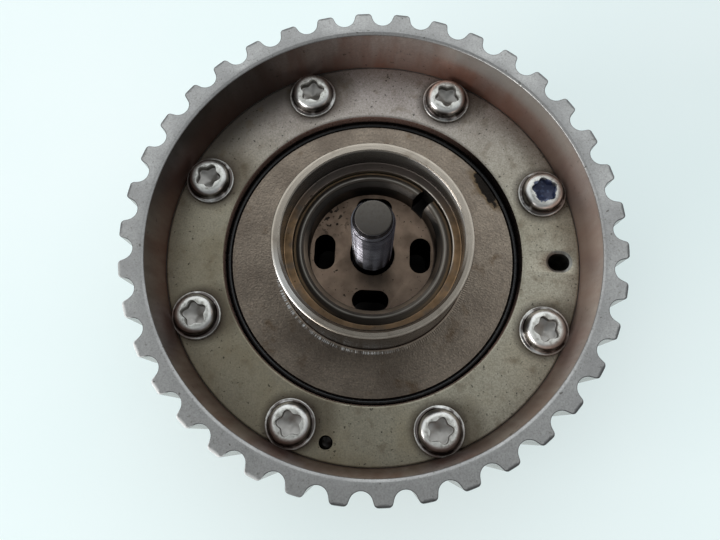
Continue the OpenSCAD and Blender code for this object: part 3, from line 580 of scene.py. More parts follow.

# %% [markdown]
# ## Rotor, bolt and rubber
# The rotor is turned and then soaked in oil: its lip carries a painted highlight in one line, and a brown
# line of oil runs round its slope, lightened as painted light. Slope and lip are painted lighter on the right
# as painted light. Its bore and notch are painted dark as shade, the bore darkest down at its floor. The
# floor is brown with black crumbs, most of them on one side, darker towards the near right, with a painted
# shade in front of the bolt. All these lie at known heights, radii and angles, so bands of them pick the
# colour. The bolt is dark oiled steel, with painted shade on its right half and on the near side of its end.
# The rubber ring is black and wet. Blackened oil coats the wall of its groove, most of all on one side, and
# the wall is painted blacker towards the bottom.

# %% Oiled rotor steel
ROTOR_FLOOR, ROTOR_LIP, NOSE_R, NECK_R = 29.1, 34.9, 12.5, 15.4
NOTCH_ANGLE, NOTCH_HALF = math.radians(46), 1.5
CRUMBS_AT, SHADE_AT = (-8.5, 7.0, ROTOR_FLOOR), (0.8, -5.4, ROTOR_FLOOR)
TO_DARKER_SIDE = (0.5, -0.85, 0.0)
oiled, tree, shader, at = begin("oiled_steel", 0.8, 0.36)
mottle = grain(tree, at["point"], 2.6, 0.35, 0.68, 3, 20.0)
crumbs = grain(tree, at["point"], 0.6, 0.66, 0.7, 2, 21.0)
thick = grain(tree, at["point"], 1.0, 0.57, 0.6, 2, 33.0)
slant = add(tree, "ShaderNodeVectorMath", {0: at["point"], 1: TO_DARKER_SIDE}, operation="DOT_PRODUCT")
to_heap = add(tree, "ShaderNodeVectorMath", {0: at["point"], 1: CRUMBS_AT}, operation="DISTANCE")
to_shade = add(tree, "ShaderNodeVectorMath", {0: at["point"], 1: SHADE_AT}, operation="DISTANCE")
fade = fades(tree, {
    "up_wall": (at["height"], ROTOR_FLOOR + 0.5, ROTOR_LIP - 0.6),
    "heap": (to_heap.outputs["Value"], 4.6, 1.6),
    "darker_side": (slant.outputs["Value"], 1, 11),
    "wet_and_shade": (to_shade.outputs["Value"], 4.2, 1.2),
    "right": (at["aside"], 1, 11),
    "clear": (at["forth"], -14, -8),
    "near": (at["forth"], 3, -3),
})
# Painted shade: the walls darker down towards the floor
colour = paint(tree, "#171412", "#4a4540", fade["up_wall"])

# Floor of the bore, with its crumbs
heaped = product(tree, thick, fade["heap"])
black = add(tree, "ShaderNodeMath", {0: crumbs, 1: heaped}, operation="MAXIMUM").outputs[0]
brown = paint(tree, "#9a8472", "#786556", mottle)
# Darker towards the near right, and a painted shade in front of the bolt
brown = paint(tree, brown, "#4d4239", fade["darker_side"], 0.45)
brown = paint(tree, brown, "#1c1714", fade["wet_and_shade"], 0.7)
brown = paint(tree, brown, "#0d0b09", black, 0.9)
on_floor = band(tree, at["height"], ROTOR_FLOOR - 0.12, ROTOR_FLOOR + 0.1, 0.04)
colour = paint(tree, colour, brown, on_floor)

# Slope and lip of the neck
chamfer = band(tree, at["height"], ROTOR_LIP - 1.1, ROTOR_LIP + 1.0, 0.1)
on_slope = product(tree, chamfer, band(tree, at["radius"], NECK_R - 1.2, NECK_R + 0.2, 0.1))
# Painted light: the oil line is lightened, and slope and lip are lighter on the right
oil_line_and_light = product(tree, band(tree, at["radius"], NECK_R - 0.5, NECK_R + 0.2, 0.12), fade["clear"])
slope = paint(tree, paint(tree, "#3f3730", "#7d7368", fade["right"]), "#c2a381", oil_line_and_light)
colour = paint(tree, colour, slope, on_slope, 0.9)
on_lip = band(tree, at["height"], ROTOR_LIP - 0.12, ROTOR_LIP + 0.2, 0.05)
colour = paint(tree, colour, paint(tree, "#39322c", "#645b52", fade["right"]), on_lip, 0.9)
# A painted highlight in one line round the lip
rubbed_and_highlight = band(tree, at["radius"], NECK_R - 1.58, NECK_R - 1.32, 0.05)
colour = paint(tree, colour, "#88827a", product(tree, rubbed_and_highlight, on_lip), 0.9)

# Mouth of the bore and the notch
mouth = band(tree, at["radius"], NOSE_R + 0.08, NOSE_R + 0.84, 0.03)
sloped = band(tree, at["height"], ROTOR_LIP - 0.84, ROTOR_LIP - 0.06, 0.03)
colour = paint(tree, colour, "#b39d89", product(tree, mouth, sloped, fade["near"]), 0.9)
# Painted shade on one side of the bore and in the notch
bore_side = band(tree, at["radius"], NOSE_R - 0.2, NOSE_R + 1.1, 0.06)
colour = paint(tree, colour, "#12100e", product(tree, sector(tree, at, -34, 28, 8), bore_side), 0.75)
turned = add(tree, "ShaderNodeMath", {0: at["angle"], 1: NOTCH_ANGLE}, operation="SUBTRACT").outputs[0]
in_notch = band(tree, product(tree, turned, at["radius"]), -NOTCH_HALF, NOTCH_HALF, 0.04)
in_wall = band(tree, at["radius"], NOSE_R - 0.2, NECK_R + 0.2, 0.05)
colour = paint(tree, colour, "#12100e", product(tree, in_notch, in_wall), 0.9)
rough = add(tree, "ShaderNodeMapRange", {"Value": mottle, "To Min": 0.28, "To Max": 0.42}).outputs[0]
rough = add(tree, "ShaderNodeMix", {0: on_floor, 2: rough, 3: 0.6}).outputs[0]
tree.links.new(rough, shader.inputs["Roughness"])
dress(tree, shader, colour, mottle, 0.012, metallic=(on_slope, 0.8, 0.35))
print(oiled.name)

# %% Dark bolt steel
BOLT_TIP = 52.6
bolt_steel, tree, shader, at = begin("dark_oiled_steel", 1.0, 0.26)
mottle = grain(tree, at["point"], 2.4, 0.35, 0.68, 2, 22.0)
along = add(tree, "ShaderNodeCombineXYZ", {0: at["height"]}).outputs[0]
rings = grain(tree, along, 0.9, 0.42, 0.62, 2, 43.0)
pits = grain(tree, at["point"], 0.5, 0.62, 0.74, 2, 23.0)
crust = grain(tree, at["point"], 0.5, 0.45, 0.7, 4, 39.0)
fade = fades(tree, {"shaded": (at["aside"], -1.0, 3.0), "near": (at["forth"], 3, -3)})
colour = paint(tree, "#8a888c", "#68666a", mottle)
colour = paint(tree, colour, "#35323a", rings, 0.6)
# Painted shade on the right half
colour = paint(tree, colour, "#3a353c", fade["shaded"], 0.8)
colour = paint(tree, colour, "#1f1e1f", pits, 0.6)
on_end = band(tree, at["height"], BOLT_TIP - 0.12, BOLT_TIP + 1.0, 0.03)
# The end is painted darker on its near side as shade, with a crust over it
crusted_end_and_shade = paint(tree, "#625d57", "#3f3b37", fade["near"])
crusted_end_and_shade = paint(tree, crusted_end_and_shade, "#4a443d", crust, 0.5)
colour = paint(tree, colour, crusted_end_and_shade, on_end, 0.95)
bumps = grain(tree, at["point"], 0.35, 0.3, 0.7, 2, 29.0)
dress(tree, shader, colour, bumps, 0.006, rough=(on_end, 0.26, 0.45))
print(bolt_steel.name)

# %% Wet rubber and blackened oil
rubber, tree, shader, at = begin("nitrile_rubber", 0.0, 0.25)
dust = grain(tree, at["point"], 0.7, 0.55, 0.72, 2, 24.0)
colour = paint(tree, "#0d0c0c", "#201b18", dust, 0.7)
dress(tree, shader, colour, dust, 0.01, rough=(dust, 0.16, 0.45))

sludge, tree, shader, at = begin("blackened_oil", 0.5, 0.3)
crust = grain(tree, at["point"], 1.3, 0.35, 0.7, 3, 30.0)
# The wall is painted blacker towards the bottom, and black with oil on one side
deep = fades(tree, {"deep": (at["height"], RING_FACE - 1.6, RING_FACE - 2.2)})["deep"]
wet_and_shade = sector(tree, at, -22, 58, 14)
black = add(tree, "ShaderNodeMath", {0: wet_and_shade, 1: deep}, operation="MAXIMUM").outputs[0]
colour = paint(tree, "#9a7c70", "#6b544b", crust, 0.6)
colour = paint(tree, colour, "#0e0c0b", black, 0.95)
dress(tree, shader, colour, crust, 0.01, rough=(crust, 0.22, 0.45))
print(rubber.name, sludge.name)

# %% [markdown]
# ## Finishes of the hidden and lower pieces
# The front cover is faced on a lathe, so rings run round the axis: a noise over the radius alone draws them,
# wider than the real ones, so that they show. The housing is sintered like the rim, but darker. The seal
# strips are moulded plastic.

# %% Faced steel, dark sintered steel and seal plastic
faced, tree, shader, at = begin("faced_steel", 0.95, 0.34)
outward = add(tree, "ShaderNodeCombineXYZ", {0: at["radius"]}).outputs[0]
rings = grain(tree, outward, 0.35, 0.3, 0.7, 2, 25.0)
colour = paint(tree, "#8b8983", "#6f6c66", rings)
colour = paint(tree, colour, "#594c3e", grain(tree, at["point"], 6.0, 0.55, 0.75, 3, 26.0), 0.5)
dress(tree, shader, colour, rings, 0.015)

dark_sintered, tree, shader, at = begin("dark_sintered_steel", 0.9, 0.5)
pores = grain(tree, at["point"], 0.5, 0.4, 0.7, 2, 27.0)
dress(tree, shader, paint(tree, "#757169", "#544f48", pores), pores, 0.02)

plastic, tree, shader, at = begin("moulded_seal_plastic", 0.0, 0.5)
haze = grain(tree, at["point"], 0.9, 0.3, 0.7, 3, 28.0)
dress(tree, shader, paint(tree, "#2b2825", "#3a352f", haze), haze, 0.01)
print(faced.name, dark_sintered.name, plastic.name)

# %% [markdown]
# ## Round pieces from a table of rows
# Most pieces here were made on a lathe. A Spin modifier or a curve could make them, but a table of rows is
# easier to check: each row is a radius and a height, and one function joins the rows into a closed skin. The
# radius may also change with the angle, which gives screw recesses, hexagons and threads from the same code.

# %% Skin over rows
ON_AXIS = 1e-6
SHARP_FROM = math.radians(38)
# Rows in a rounded corner, and how far beyond it a guard row keeps the flat side flat, as a share of it
EASE_STEPS, GUARD = 4, 0.3


def skin(name, rows, sides, finishes):
    """Closed mesh from rows of (radius, height, finish number), in mm or as functions of the angle."""
    bm = bmesh.new()
    rings = []
    for radius, height, finish in rows:
        ring = []
        for k in range(sides):
            a = 2 * math.pi * k / sides
            r = radius(a) if callable(radius) else radius
            z = height(a) if callable(height) else height
            if r < ON_AXIS and ring:
                ring.append(ring[0])
            else:
                ring.append(bm.verts.new((r * math.cos(a) * MM, r * math.sin(a) * MM, z * MM)))
        rings.append(ring)
    for i, (low, high) in enumerate(zip(rings, rings[1:] + rings[:1])):
        for k in range(sides):
            n = (k + 1) % sides
            corners = list(dict.fromkeys((low[k], low[n], high[n], high[k])))
            if len(corners) > 2:
                bm.faces.new(corners).material_index = rows[i][2]
    bmesh.ops.recalc_face_normals(bm, faces=bm.faces)
    mesh = bpy.data.meshes.new(name)
    bm.to_mesh(mesh)
    bm.free()
    for finish in finishes:
        mesh.materials.append(finish)
    return mesh


def eased(corners):
    """Rows of a closed profile with rounded corners.

    A corner is a radius, a height, a rounding and the finish of the side that follows it.
    """
    rows = []
    for i, (r, z, rounding, finish) in enumerate(corners):
        here = Vector((r, z))
        to_last = Vector(corners[i - 1][:2]) - here
        to_next = Vector(corners[(i + 1) % len(corners)][:2]) - here
        last_finish = corners[i - 1][3]
        reach = rounding / math.tan(to_last.angle(to_next) / 2)
        start, end = here + to_last.normalized() * reach, here + to_next.normalized() * reach
        rows.append((*(start + to_last.normalized() * GUARD * rounding), last_finish))
        for k in range(EASE_STEPS + 1):
            s = k / EASE_STEPS
            p = (1 - s) ** 2 * start + 2 * s * (1 - s) * here + s * s * end
            rows.append((*p, last_finish if s < 0.5 else finish))
        rows.append((*(end + to_next.normalized() * GUARD * rounding), finish))
    return rows


def place(name, mesh):
    """Puts a finished mesh into the scene as a smooth piece at the origin."""
    mesh.polygons.foreach_set("use_smooth", [True] * len(mesh.polygons))
    mesh.set_sharp_from_angle(angle=SHARP_FROM)
    piece = bpy.data.objects.new(name, mesh)
    bpy.context.scene.collection.objects.link(piece)
    return piece


def applied(piece):
    """Turns a piece with modifiers into a plain mesh."""
    graph = bpy.context.evaluated_depsgraph_get()
    mesh = bpy.data.meshes.new_from_object(piece.evaluated_get(graph), depsgraph=graph)
    piece.modifiers.clear()
    piece.data = mesh
    return piece


def drilled(piece, cutter_mesh):
    """Cuts a piece with a cutter mesh."""
    cutter = bpy.data.objects.new("cutter", cutter_mesh)
    bpy.context.scene.collection.objects.link(cutter)
    cut = piece.modifiers.new("hole", "BOOLEAN")
    cut.operation, cut.solver, cut.object = "DIFFERENCE", "EXACT", cutter
    applied(piece)
    bpy.data.objects.remove(cutter)
    return piece


print("lathe helpers ready")

# %% [markdown]
# ## Geometry trees
# What repeats is made by Geometry Nodes. A tree is built here, gets its sizes through named inputs, and runs
# once. Its result is taken as a plain mesh, because instances and live modifiers are lost in an export.

# %% Tree helpers
def new_tree(name, inputs):
    """An empty geometry tree with a geometry input, the named inputs (name to socket type) and an output."""
    tree = bpy.data.node_groups.new(name, "GeometryNodeTree")
    tree.interface.new_socket("Geometry", in_out="INPUT", socket_type="NodeSocketGeometry")
    for label, kind in inputs.items():
        tree.interface.new_socket(label, in_out="INPUT", socket_type=kind)
    tree.interface.new_socket("Geometry", in_out="OUTPUT", socket_type="NodeSocketGeometry")
    return tree, add(tree, "NodeGroupInput").outputs


def grown(name, mesh, tree, values):
    """Runs a tree on a mesh with its inputs set, and returns the result as a piece."""
    source = bpy.data.objects.new(name + "_seed", mesh)
    bpy.context.scene.collection.objects.link(source)
    rule = source.modifiers.new("rule", "NODES")
    rule.node_group = tree
    for item in tree.interface.items_tree:
        if item.in_out == "INPUT" and item.name in values:
            rule[item.identifier] = values[item.name]
    graph = bpy.context.evaluated_depsgraph_get()
    made = bpy.data.meshes.new_from_object(
        source.evaluated_get(graph), preserve_all_data_layers=True, depsgraph=graph
    )
    bpy.data.objects.remove(source)
    return place(name, made)


print("tree helpers ready")

# %% [markdown]
# ## Toothed rim
# The rim repeats one tooth 38 times. One pitch of it is drawn as columns round the tooth: the round bottom
# of the gap, a straight flank, a rolled corner and the tip. Every column is a closed section through the rim,
# with the worn edge of the tooth and the tapered recess. The tree then copies it round and welds the seams.

# %% One tooth
TEETH = 38
PITCH = 2 * math.pi / TEETH
GAP_R, TIP_ROUND, FLANK = 2.1, 0.85, math.radians(20)
RIM_BASE, SEAT_R, SEAT_CHAMFER = 13.7, 41.593, 0.5
EDGE, TIP_EDGE = 0.12, 0.48
GAP_STEPS, CORNER_STEPS, TIP_STEPS = 8, 4, 3
# Edge of the recess: mm out from its wall, mm down from the top, on the varnished wall, share of edge wear
RECESS_EDGE = [
    (0.6, 0, 0, 0), (0.54, 0.01, 0, 0.1), (0.12, 0.16, 0, 0.1), (0.02, 0.24, 0, 0), (-0.02, 0.4, 1, 0),
    (-0.05, 0.7, 1, 0),
]


def tooth_columns():
    """Points of one pitch round the tooth on +X: (x, y, outward normal x, y, edge rounding) in mm."""
    half = []
    gap_x = ROOT_R + GAP_R
    for k in range(GAP_STEPS + 1):
        a = math.pi - (math.pi / 2 - FLANK) * k / GAP_STEPS
        half.append((gap_x + GAP_R * math.cos(a), GAP_R * math.sin(a), -math.cos(a), -math.sin(a), EDGE))
    along = Vector((math.cos(FLANK), math.sin(FLANK)))
    away = Vector((-math.sin(FLANK), math.cos(FLANK)))
    foot = Vector(half[-1][:2])
    rolled = foot + TIP_ROUND * away
    b = rolled.dot(along)
    reach = math.sqrt(b * b - rolled.dot(rolled) + (TIP_R - TIP_ROUND) ** 2) - b
    centre = rolled + reach * along
    tip_a = math.atan2(centre.y, centre.x)
    half.append((*(foot + reach * along), -away.x, -away.y, EDGE))
    for k in range(1, CORNER_STEPS + 1):
        share = k / CORNER_STEPS
        a = (FLANK - math.pi / 2) + (tip_a - FLANK + math.pi / 2) * share
        n = Vector((math.cos(a), math.sin(a)))
        half.append((*(centre + TIP_ROUND * n), n.x, n.y, EDGE + (TIP_EDGE - EDGE) * share))
    for k in range(1, TIP_STEPS + 1):
        a = tip_a + (PITCH / 2 - tip_a) * k / TIP_STEPS
        half.append((TIP_R * math.cos(a), TIP_R * math.sin(a), math.cos(a), math.sin(a), TIP_EDGE))
    turn = Matrix.Rotation(-PITCH / 2, 2)
    turned = [(*(turn @ Vector(c[:2])), *(turn @ Vector(c[2:4])), c[4]) for c in half]
    return turned + [(x, -y, nx, -ny, e) for x, y, nx, ny, e in reversed(turned[:-1])]


def rim_section(column, a):
    """Closed section through the rim at one column: (x, y, z, on the varnished wall, on a worn edge)."""
    x, y, nx, ny, e = column
    p, n = Vector((x, y)), Vector((nx, ny))
    ray = Vector((math.cos(a), math.sin(a)))
    lip_r, base_r = RECESS_R + RECESS_EDGE[0][0], SEAT_R + SEAT_CHAMFER
    bare = [
        (p - n * e, RIM_BASE, 1), (p - n * 0.3 * e, RIM_BASE + 0.3 * e, 1), (p, RIM_BASE + e, 0),
        (p, RIM_BASE + 2 * e, 0), (p, RIM_TOP - 2 * e, 0), (p, RIM_TOP - e, 1),
        (p - n * 0.3 * e, RIM_TOP - 0.3 * e, 1), (p - n * e, RIM_TOP, 0.6), (p - n * 1.6 * e, RIM_TOP, 0),
        ((p - n * e).lerp(lip_r * ray, 0.55), RIM_TOP, 0),
    ]
    section = [(*spot, z, 0, wear) for spot, z, wear in bare]
    for out, down, varnished_side, wear in RECESS_EDGE:
        section.append((*((RECESS_R + out) * ray), RIM_TOP - down, varnished_side, wear))
    section.append((*(0.5 * (RECESS_R + SEAT_R) * ray), 0.5 * (RIM_TOP + RING_FACE), 1, 0))
    seat = [(SEAT_R, RING_FACE), (SEAT_R, RIM_BASE + 0.5), (SEAT_R + 0.4, RIM_BASE + 0.1), (base_r, RIM_BASE)]
    section += [(*(r * ray), z, 0, 0) for r, z in seat]
    return section + [(*(p - n * e).lerp(base_r * ray, 0.5), RIM_BASE, 0, 0)]


columns = tooth_columns()
bm = bmesh.new()
varnish = bm.faces.layers.bool.new("varnish")
worn = bm.verts.layers.float.new("edge")
strips = []
for j, column in enumerate(columns):
    section = rim_section(column, PITCH * (j / (len(columns) - 1) - 0.5))
    strip = []
    for x, y, z, _, wear in section:
        vertex = bm.verts.new((x * MM, y * MM, z * MM))
        vertex[worn] = wear
        strip.append(vertex)
    strips.append(strip)
for left, right in zip(strips, strips[1:]):
    for i in range(len(section)):
        n = (i + 1) % len(section)
        face = bm.faces.new((left[i], right[i], right[n], left[n]))
        face[varnish] = bool(section[i][3])
tooth = bpy.data.meshes.new("tooth")
bm.to_mesh(tooth)
bm.free()
tooth.materials.append(sintered)
print("tooth columns", len(columns), "faces", len(tooth.polygons))

# %% Teeth copied round and welded
tree, given = new_tree(
    "teeth_round_the_rim",
    {
        "Teeth": "NodeSocketInt", "Weld": "NodeSocketFloat",
        "Steel": "NodeSocketMaterial", "Skin": "NodeSocketMaterial",
    },
)
spots = add(tree, "GeometryNodePoints", {"Count": given["Teeth"]})
step = add(tree, "ShaderNodeMath", {0: 2 * math.pi, 1: given["Teeth"]}, operation="DIVIDE").outputs[0]
index = add(tree, "GeometryNodeInputIndex").outputs[0]
turn = add(tree, "ShaderNodeMath", {0: index, 1: step}, operation="MULTIPLY").outputs[0]
euler = add(tree, "ShaderNodeCombineXYZ", {2: turn}).outputs[0]
rotation = add(tree, "FunctionNodeEulerToRotation", {0: euler}).outputs[0]
copy = {"Points": spots.outputs[0], "Instance": given["Geometry"], "Rotation": rotation}
copies = add(tree, "GeometryNodeInstanceOnPoints", copy)
real = add(tree, "GeometryNodeRealizeInstances", {0: copies.outputs[0]}).outputs[0]
welded = add(tree, "GeometryNodeMergeByDistance", {"Geometry": real, "Distance": given["Weld"]})
steel = add(tree, "GeometryNodeSetMaterial", {"Geometry": welded.outputs[0], "Material": given["Steel"]})
walls = add(tree, "GeometryNodeInputNamedAttribute", {"Name": "varnish"}, data_type="BOOLEAN").outputs[0]
coat = {"Geometry": steel.outputs[0], "Selection": walls, "Material": given["Skin"]}
coated = add(tree, "GeometryNodeSetMaterial", coat)
add(tree, "NodeGroupOutput", {0: coated.outputs[0]})
WELD = 0.002 * MM
rim = grown("toothed_rim", tooth, tree, {"Teeth": TEETH, "Weld": WELD, "Steel": sintered, "Skin": varnished})
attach(rim, "housing")
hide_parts("pulley")
print("rim faces", len(rim.data.polygons), "finishes", [m.name for m in rim.data.materials])

# %% [markdown]
# ## Cover screws
# Eight flanged button screws hold the covers. The head has a thin flange, a hollow above it, a dome with a
# flat crown, and a five-lobed recess. The recess is a cosine wave on the radius, so the head is one skin of
# rows from the tip of the shank to the bottom of the recess. The tree sets one screw on each of eight points.

# %% One screw
SHANK_R, SCREW_TIP = 2.5, 2.2
SCREW_LOBES, VALLEY_R, LOBE_POWER = 5, 1.94, 0.9
CROWN_R, CROWN_Z, DOME_R, DOME_ROUND, DOME_STEPS = 2.5, 2.97, 4.05, 1.6, 8


def lobed(share, extra=0.0):
    """Radius of the lobed recess at an angle, as a share of it plus extra."""
    def radius(a):
        point = (0.5 + 0.5 * math.cos(SCREW_LOBES * a)) ** LOBE_POWER
        return share * (VALLEY_R + (RECESS_POINT_R - VALLEY_R) * point) + extra

    return radius


def dome(r):
    """Height of the head's dome above its foot at a radius."""
    return CROWN_Z - DOME_ROUND * (1 - math.cos(math.asin(max(0.0, r - CROWN_R) / DOME_ROUND)))


def edge(extra, drop):
    """Row of the recess's edge: its radius is widened by extra and it lies drop mm below the dome."""
    radius = lobed(1, extra)
    return radius, lambda a: HEAD_FOOT + dome(radius(a)) - drop


# Radius and height above the foot of the head: flange and hollow, then the dome's arc, then the recess
HEAD = [
    (4.0, 0), (4.65, 0), (4.79, 0.06), (FLANGE_R, 0.2), (FLANGE_R, 0.4), (4.81, 0.52), (4.72, 0.58),
    (4.6, 0.6), (4.4, 0.66), (4.24, 0.74), (4.13, 0.9), (4.09, 1.1), (4.09, 1.4), (4.08, 1.5),
]
dome_edge = RECESS_POINT_R + 0.12
for k in range(DOME_STEPS + 1):
    r = DOME_R + (dome_edge - DOME_R) * k / DOME_STEPS
    HEAD.append((r, dome(r)))
RECESS_ROUND = [(0.1, 0.0), (0.05, 0.01), (0.01, 0.06), (0.0, 0.2)]
RECESS = [
    (lobed(0.98), 1.3), (lobed(0.97), 1.2), (lobed(0.93), 1.14), (lobed(0.85), 1.1),
    (1.4, 0.94), (0.9, 0.72), (0.4, 0.5), (0, 0.42),
]
screw_rows = [(0, SCREW_TIP, 0), (SHANK_R - 0.5, SCREW_TIP, 0), (SHANK_R, SCREW_TIP + 0.5, 0)]
screw_rows += [(SHANK_R, z, 0) for z in (SCREW_TIP + 0.8, HEAD_FOOT - 0.2, HEAD_FOOT)]
screw_rows += [(r, HEAD_FOOT + z, 0) for r, z in HEAD]
screw_rows += [(*edge(extra, drop), 0) for extra, drop in RECESS_ROUND]
screw_rows += [(r, HEAD_FOOT + z, 0) for r, z in RECESS]
screw_mesh = skin("screw", screw_rows, sides=80, finishes=[zinc])
screw_mesh.polygons.foreach_set("use_smooth", [True] * len(screw_mesh.polygons))
screw = bpy.data.objects.new("screw", screw_mesh)
bpy.context.scene.collection.objects.link(screw)
print("screw faces", len(screw_mesh.polygons))

# %% Eight screws on their circle
# Degrees that each recess was left turned when its screw was tight
LEFT_AT = [29, 54, 14, 69, 33, 32, 8, 39]
middles = [2 * math.pi * (i + 0.5) / SCREWS for i in range(SCREWS)]
screw_places = [(SCREW_CIRCLE * math.cos(a), SCREW_CIRCLE * math.sin(a)) for a in middles]
seeds = bpy.data.meshes.new("screw_seeds")
seeds.from_pydata([(x * MM, y * MM, 0) for x, y in screw_places], [], [])
left_at = seeds.attributes.new("left_at", "FLOAT", "POINT")
left_at.data.foreach_set("value", [math.radians(d) for d in LEFT_AT])

tree, given = new_tree("screws_on_circle", {"Screw": "NodeSocketObject", "Plate": "NodeSocketMaterial"})
part = add(tree, "GeometryNodeObjectInfo", {"Object": given["Screw"]})
turn = add(tree, "GeometryNodeInputNamedAttribute", {"Name": "left_at"}, data_type="FLOAT").outputs[0]
euler = add(tree, "ShaderNodeCombineXYZ", {2: turn}).outputs[0]
rotation = add(tree, "FunctionNodeEulerToRotation", {0: euler}).outputs[0]
copy = {"Points": given["Geometry"], "Instance": part.outputs["Geometry"], "Rotation": rotation}
copies = add(tree, "GeometryNodeInstanceOnPoints", copy)
real = add(tree, "GeometryNodeRealizeInstances", {0: copies.outputs[0]})
plated = add(tree, "GeometryNodeSetMaterial", {"Geometry": real.outputs[0], "Material": given["Plate"]})
add(tree, "NodeGroupOutput", {0: plated.outputs[0]})
screws = grown("cover_screw_set", seeds, tree, {"Screw": screw, "Plate": zinc})
bpy.data.objects.remove(screw)
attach(screws, "housing")
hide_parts("cover_screws")
print("screw set faces", len(screws.data.polygons))

# %% [markdown]
# ## Clamp ring
# A flat ring holds the rear cover down. It is turned as a profile with soft edges and then drilled: eight
# screw holes, one hole for a dowel and one open oblong tooling hole with a countersink. A Boolean modifier
# drills it, because a hole through a ring doesn't fit into rows.

# %% Ring with its holes
HOUSING_R, RING_HOLE_R, RING_BASE = 41.563, 30.0, 25.5
SCREW_HOLE_R, PAST = 2.75, 1.0
TOOL_AT, TOOL_W, TOOL_L, COUNTERSINK = (37.463, 0), 3.5, 4.3, 0.35
DOWEL_A, DOWEL_CIRCLE, DOWEL_HOLE_R = math.radians(259), 37.963, 1.34
DOWEL_AT = (DOWEL_CIRCLE * math.cos(DOWEL_A), DOWEL_CIRCLE * math.sin(DOWEL_A))


def drill(x, y, rows, finish):
    """Cutter for a hole at x, y: rows are (radius, height) in mm from bottom to top."""
    closed = [(0, rows[0][1], finish)] + [(r, z, finish) for r, z in rows] + [(0, rows[-1][1], finish)]
    mesh = skin("drill", closed, sides=48, finishes=[])
    mesh.transform(Matrix.Translation((x * MM, y * MM, 0)))
    return mesh


def oblong(wider=0.0):
    """Radius at an angle of the tooling hole's outline, widened all round."""
    r, end = TOOL_W / 2 + wider, (TOOL_L - TOOL_W) / 2

    def radius(a):
        c, s = abs(math.cos(a)), abs(math.sin(a))
        return r / s if end * s > r * c else end * c + math.sqrt(r * r - end * end * s * s)

    return radius


def together(meshes):
    """Several cutters that don't touch, as one mesh."""
    bm = bmesh.new()
    for mesh in meshes:
        bm.from_mesh(mesh)
    bm.to_mesh(meshes[0])
    bm.free()
    return meshes[0]


def drilled_through(name, bottom, top, tool_rows, finish):
    """Drills the turned piece of that name from bottom to top and returns it as a new piece."""
    ends = (bottom - PAST, top + PAST)
    cutters = [drill(x, y, [(SCREW_HOLE_R, z) for z in ends], finish) for x, y in screw_places]
    cutters.append(drill(*DOWEL_AT, [(DOWEL_HOLE_R, z) for z in ends], finish))
    cutters.append(drill(*TOOL_AT, tool_rows, finish))
    turned = drilled(bpy.data.objects[name + "_turned"], together(cutters))
    piece = place(name + "_drilled", turned.data)
    bpy.data.objects.remove(turned)
    return piece


# Numbers of the ring's finishes
FACE, OILY_WALL, HIDDEN = 0, 1, 2
ring_profile = [
    (RING_HOLE_R, RING_BASE, 0.2, HIDDEN), (HOUSING_R, RING_BASE, 0.2, HIDDEN),
    (HOUSING_R, RING_FACE, 0.35, FACE), (RING_HOLE_R, RING_FACE, 0.5, OILY_WALL),
]
ring_rows = eased(ring_profile)
ring_mesh = skin("clamp_ring_turned", ring_rows, sides=288, finishes=[phosphated, sludge, faced])
place("clamp_ring_turned", ring_mesh)
tool_rows = [(oblong(), RING_BASE - PAST), (oblong(), RING_FACE - COUNTERSINK)]
tool_rows += [(oblong(0.5), RING_FACE), (oblong(1.5), RING_FACE + PAST)]
ring = drilled_through("clamp_ring", RING_BASE, RING_FACE, tool_rows, HIDDEN)
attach(ring, "housing")
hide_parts("clamp_ring")
print("clamp ring faces", len(ring.data.polygons))

# %% [markdown]
# ## Rear cover with its collar
# The disc, the boss and the collar are one turned piece. The lathe tool chattered at the foot of the collar
# and left a row of small radial ticks there. They are real ripples in the mesh: every row of the fillet gets
# a wave on its height, so that the light breaks on them.

# %% Turned cover
BOSS_R, BOSS_TOP, DISC_BASE = 28.7, 26.7, 22.5
FOOT_FILLET, RIPPLES, RIPPLE_DEPTH = 0.5, 288, 0.05
# Extra rows that carry the ripples, in mm outside the guard row of the fillet
RIPPLE_ROWS, SAME_ROW = (1.2, 0.8, 0.5, 0.25), 0.01
# Numbers of the cover's finishes
DISC, COLLAR, STEP, INSIDE = 0, 1, 2, 3
cover_profile = [
    (JOURNAL_R, DISC_BASE, 0.2, INSIDE), (HOUSING_R, DISC_BASE, 0.2, INSIDE),
    (HOUSING_R, RING_BASE, 0.2, INSIDE), (BOSS_R, RING_BASE, 0.05, INSIDE), (BOSS_R, BOSS_TOP, 0.15, DISC),
    (COLLAR_R, BOSS_TOP, FOOT_FILLET, COLLAR), (COLLAR_R, COLLAR_TOP, 0.5, COLLAR),
    (BORE_R + 0.3, COLLAR_TOP, 0.08, COLLAR), (BORE_R, COLLAR_TOP - 0.24, 0.08, COLLAR),
    (BORE_R, STEP_Z, 0.25, STEP), (JOURNAL_R, STEP_Z, 0.15, INSIDE),
]


def chattered(radius, height):
    """Height at the collar's foot with the tool's ripple, deepest just outside the fillet."""
    nearness = max(0.0, 1 - abs(radius - (COLLAR_R + 0.8)) / FOOT_FILLET)

    def ripple(a):
        slow = math.sin(3 * a + 1.0) * math.sin(7 * a)
        quick = math.sin(53 * a) * math.sin(31 * a)
        uneven = 0.5 + 0.25 * slow + 0.25 * quick
        return height + RIPPLE_DEPTH * nearness * uneven * math.sin(RIPPLES * a + 0.8 * math.sin(9 * a))

    return ripple


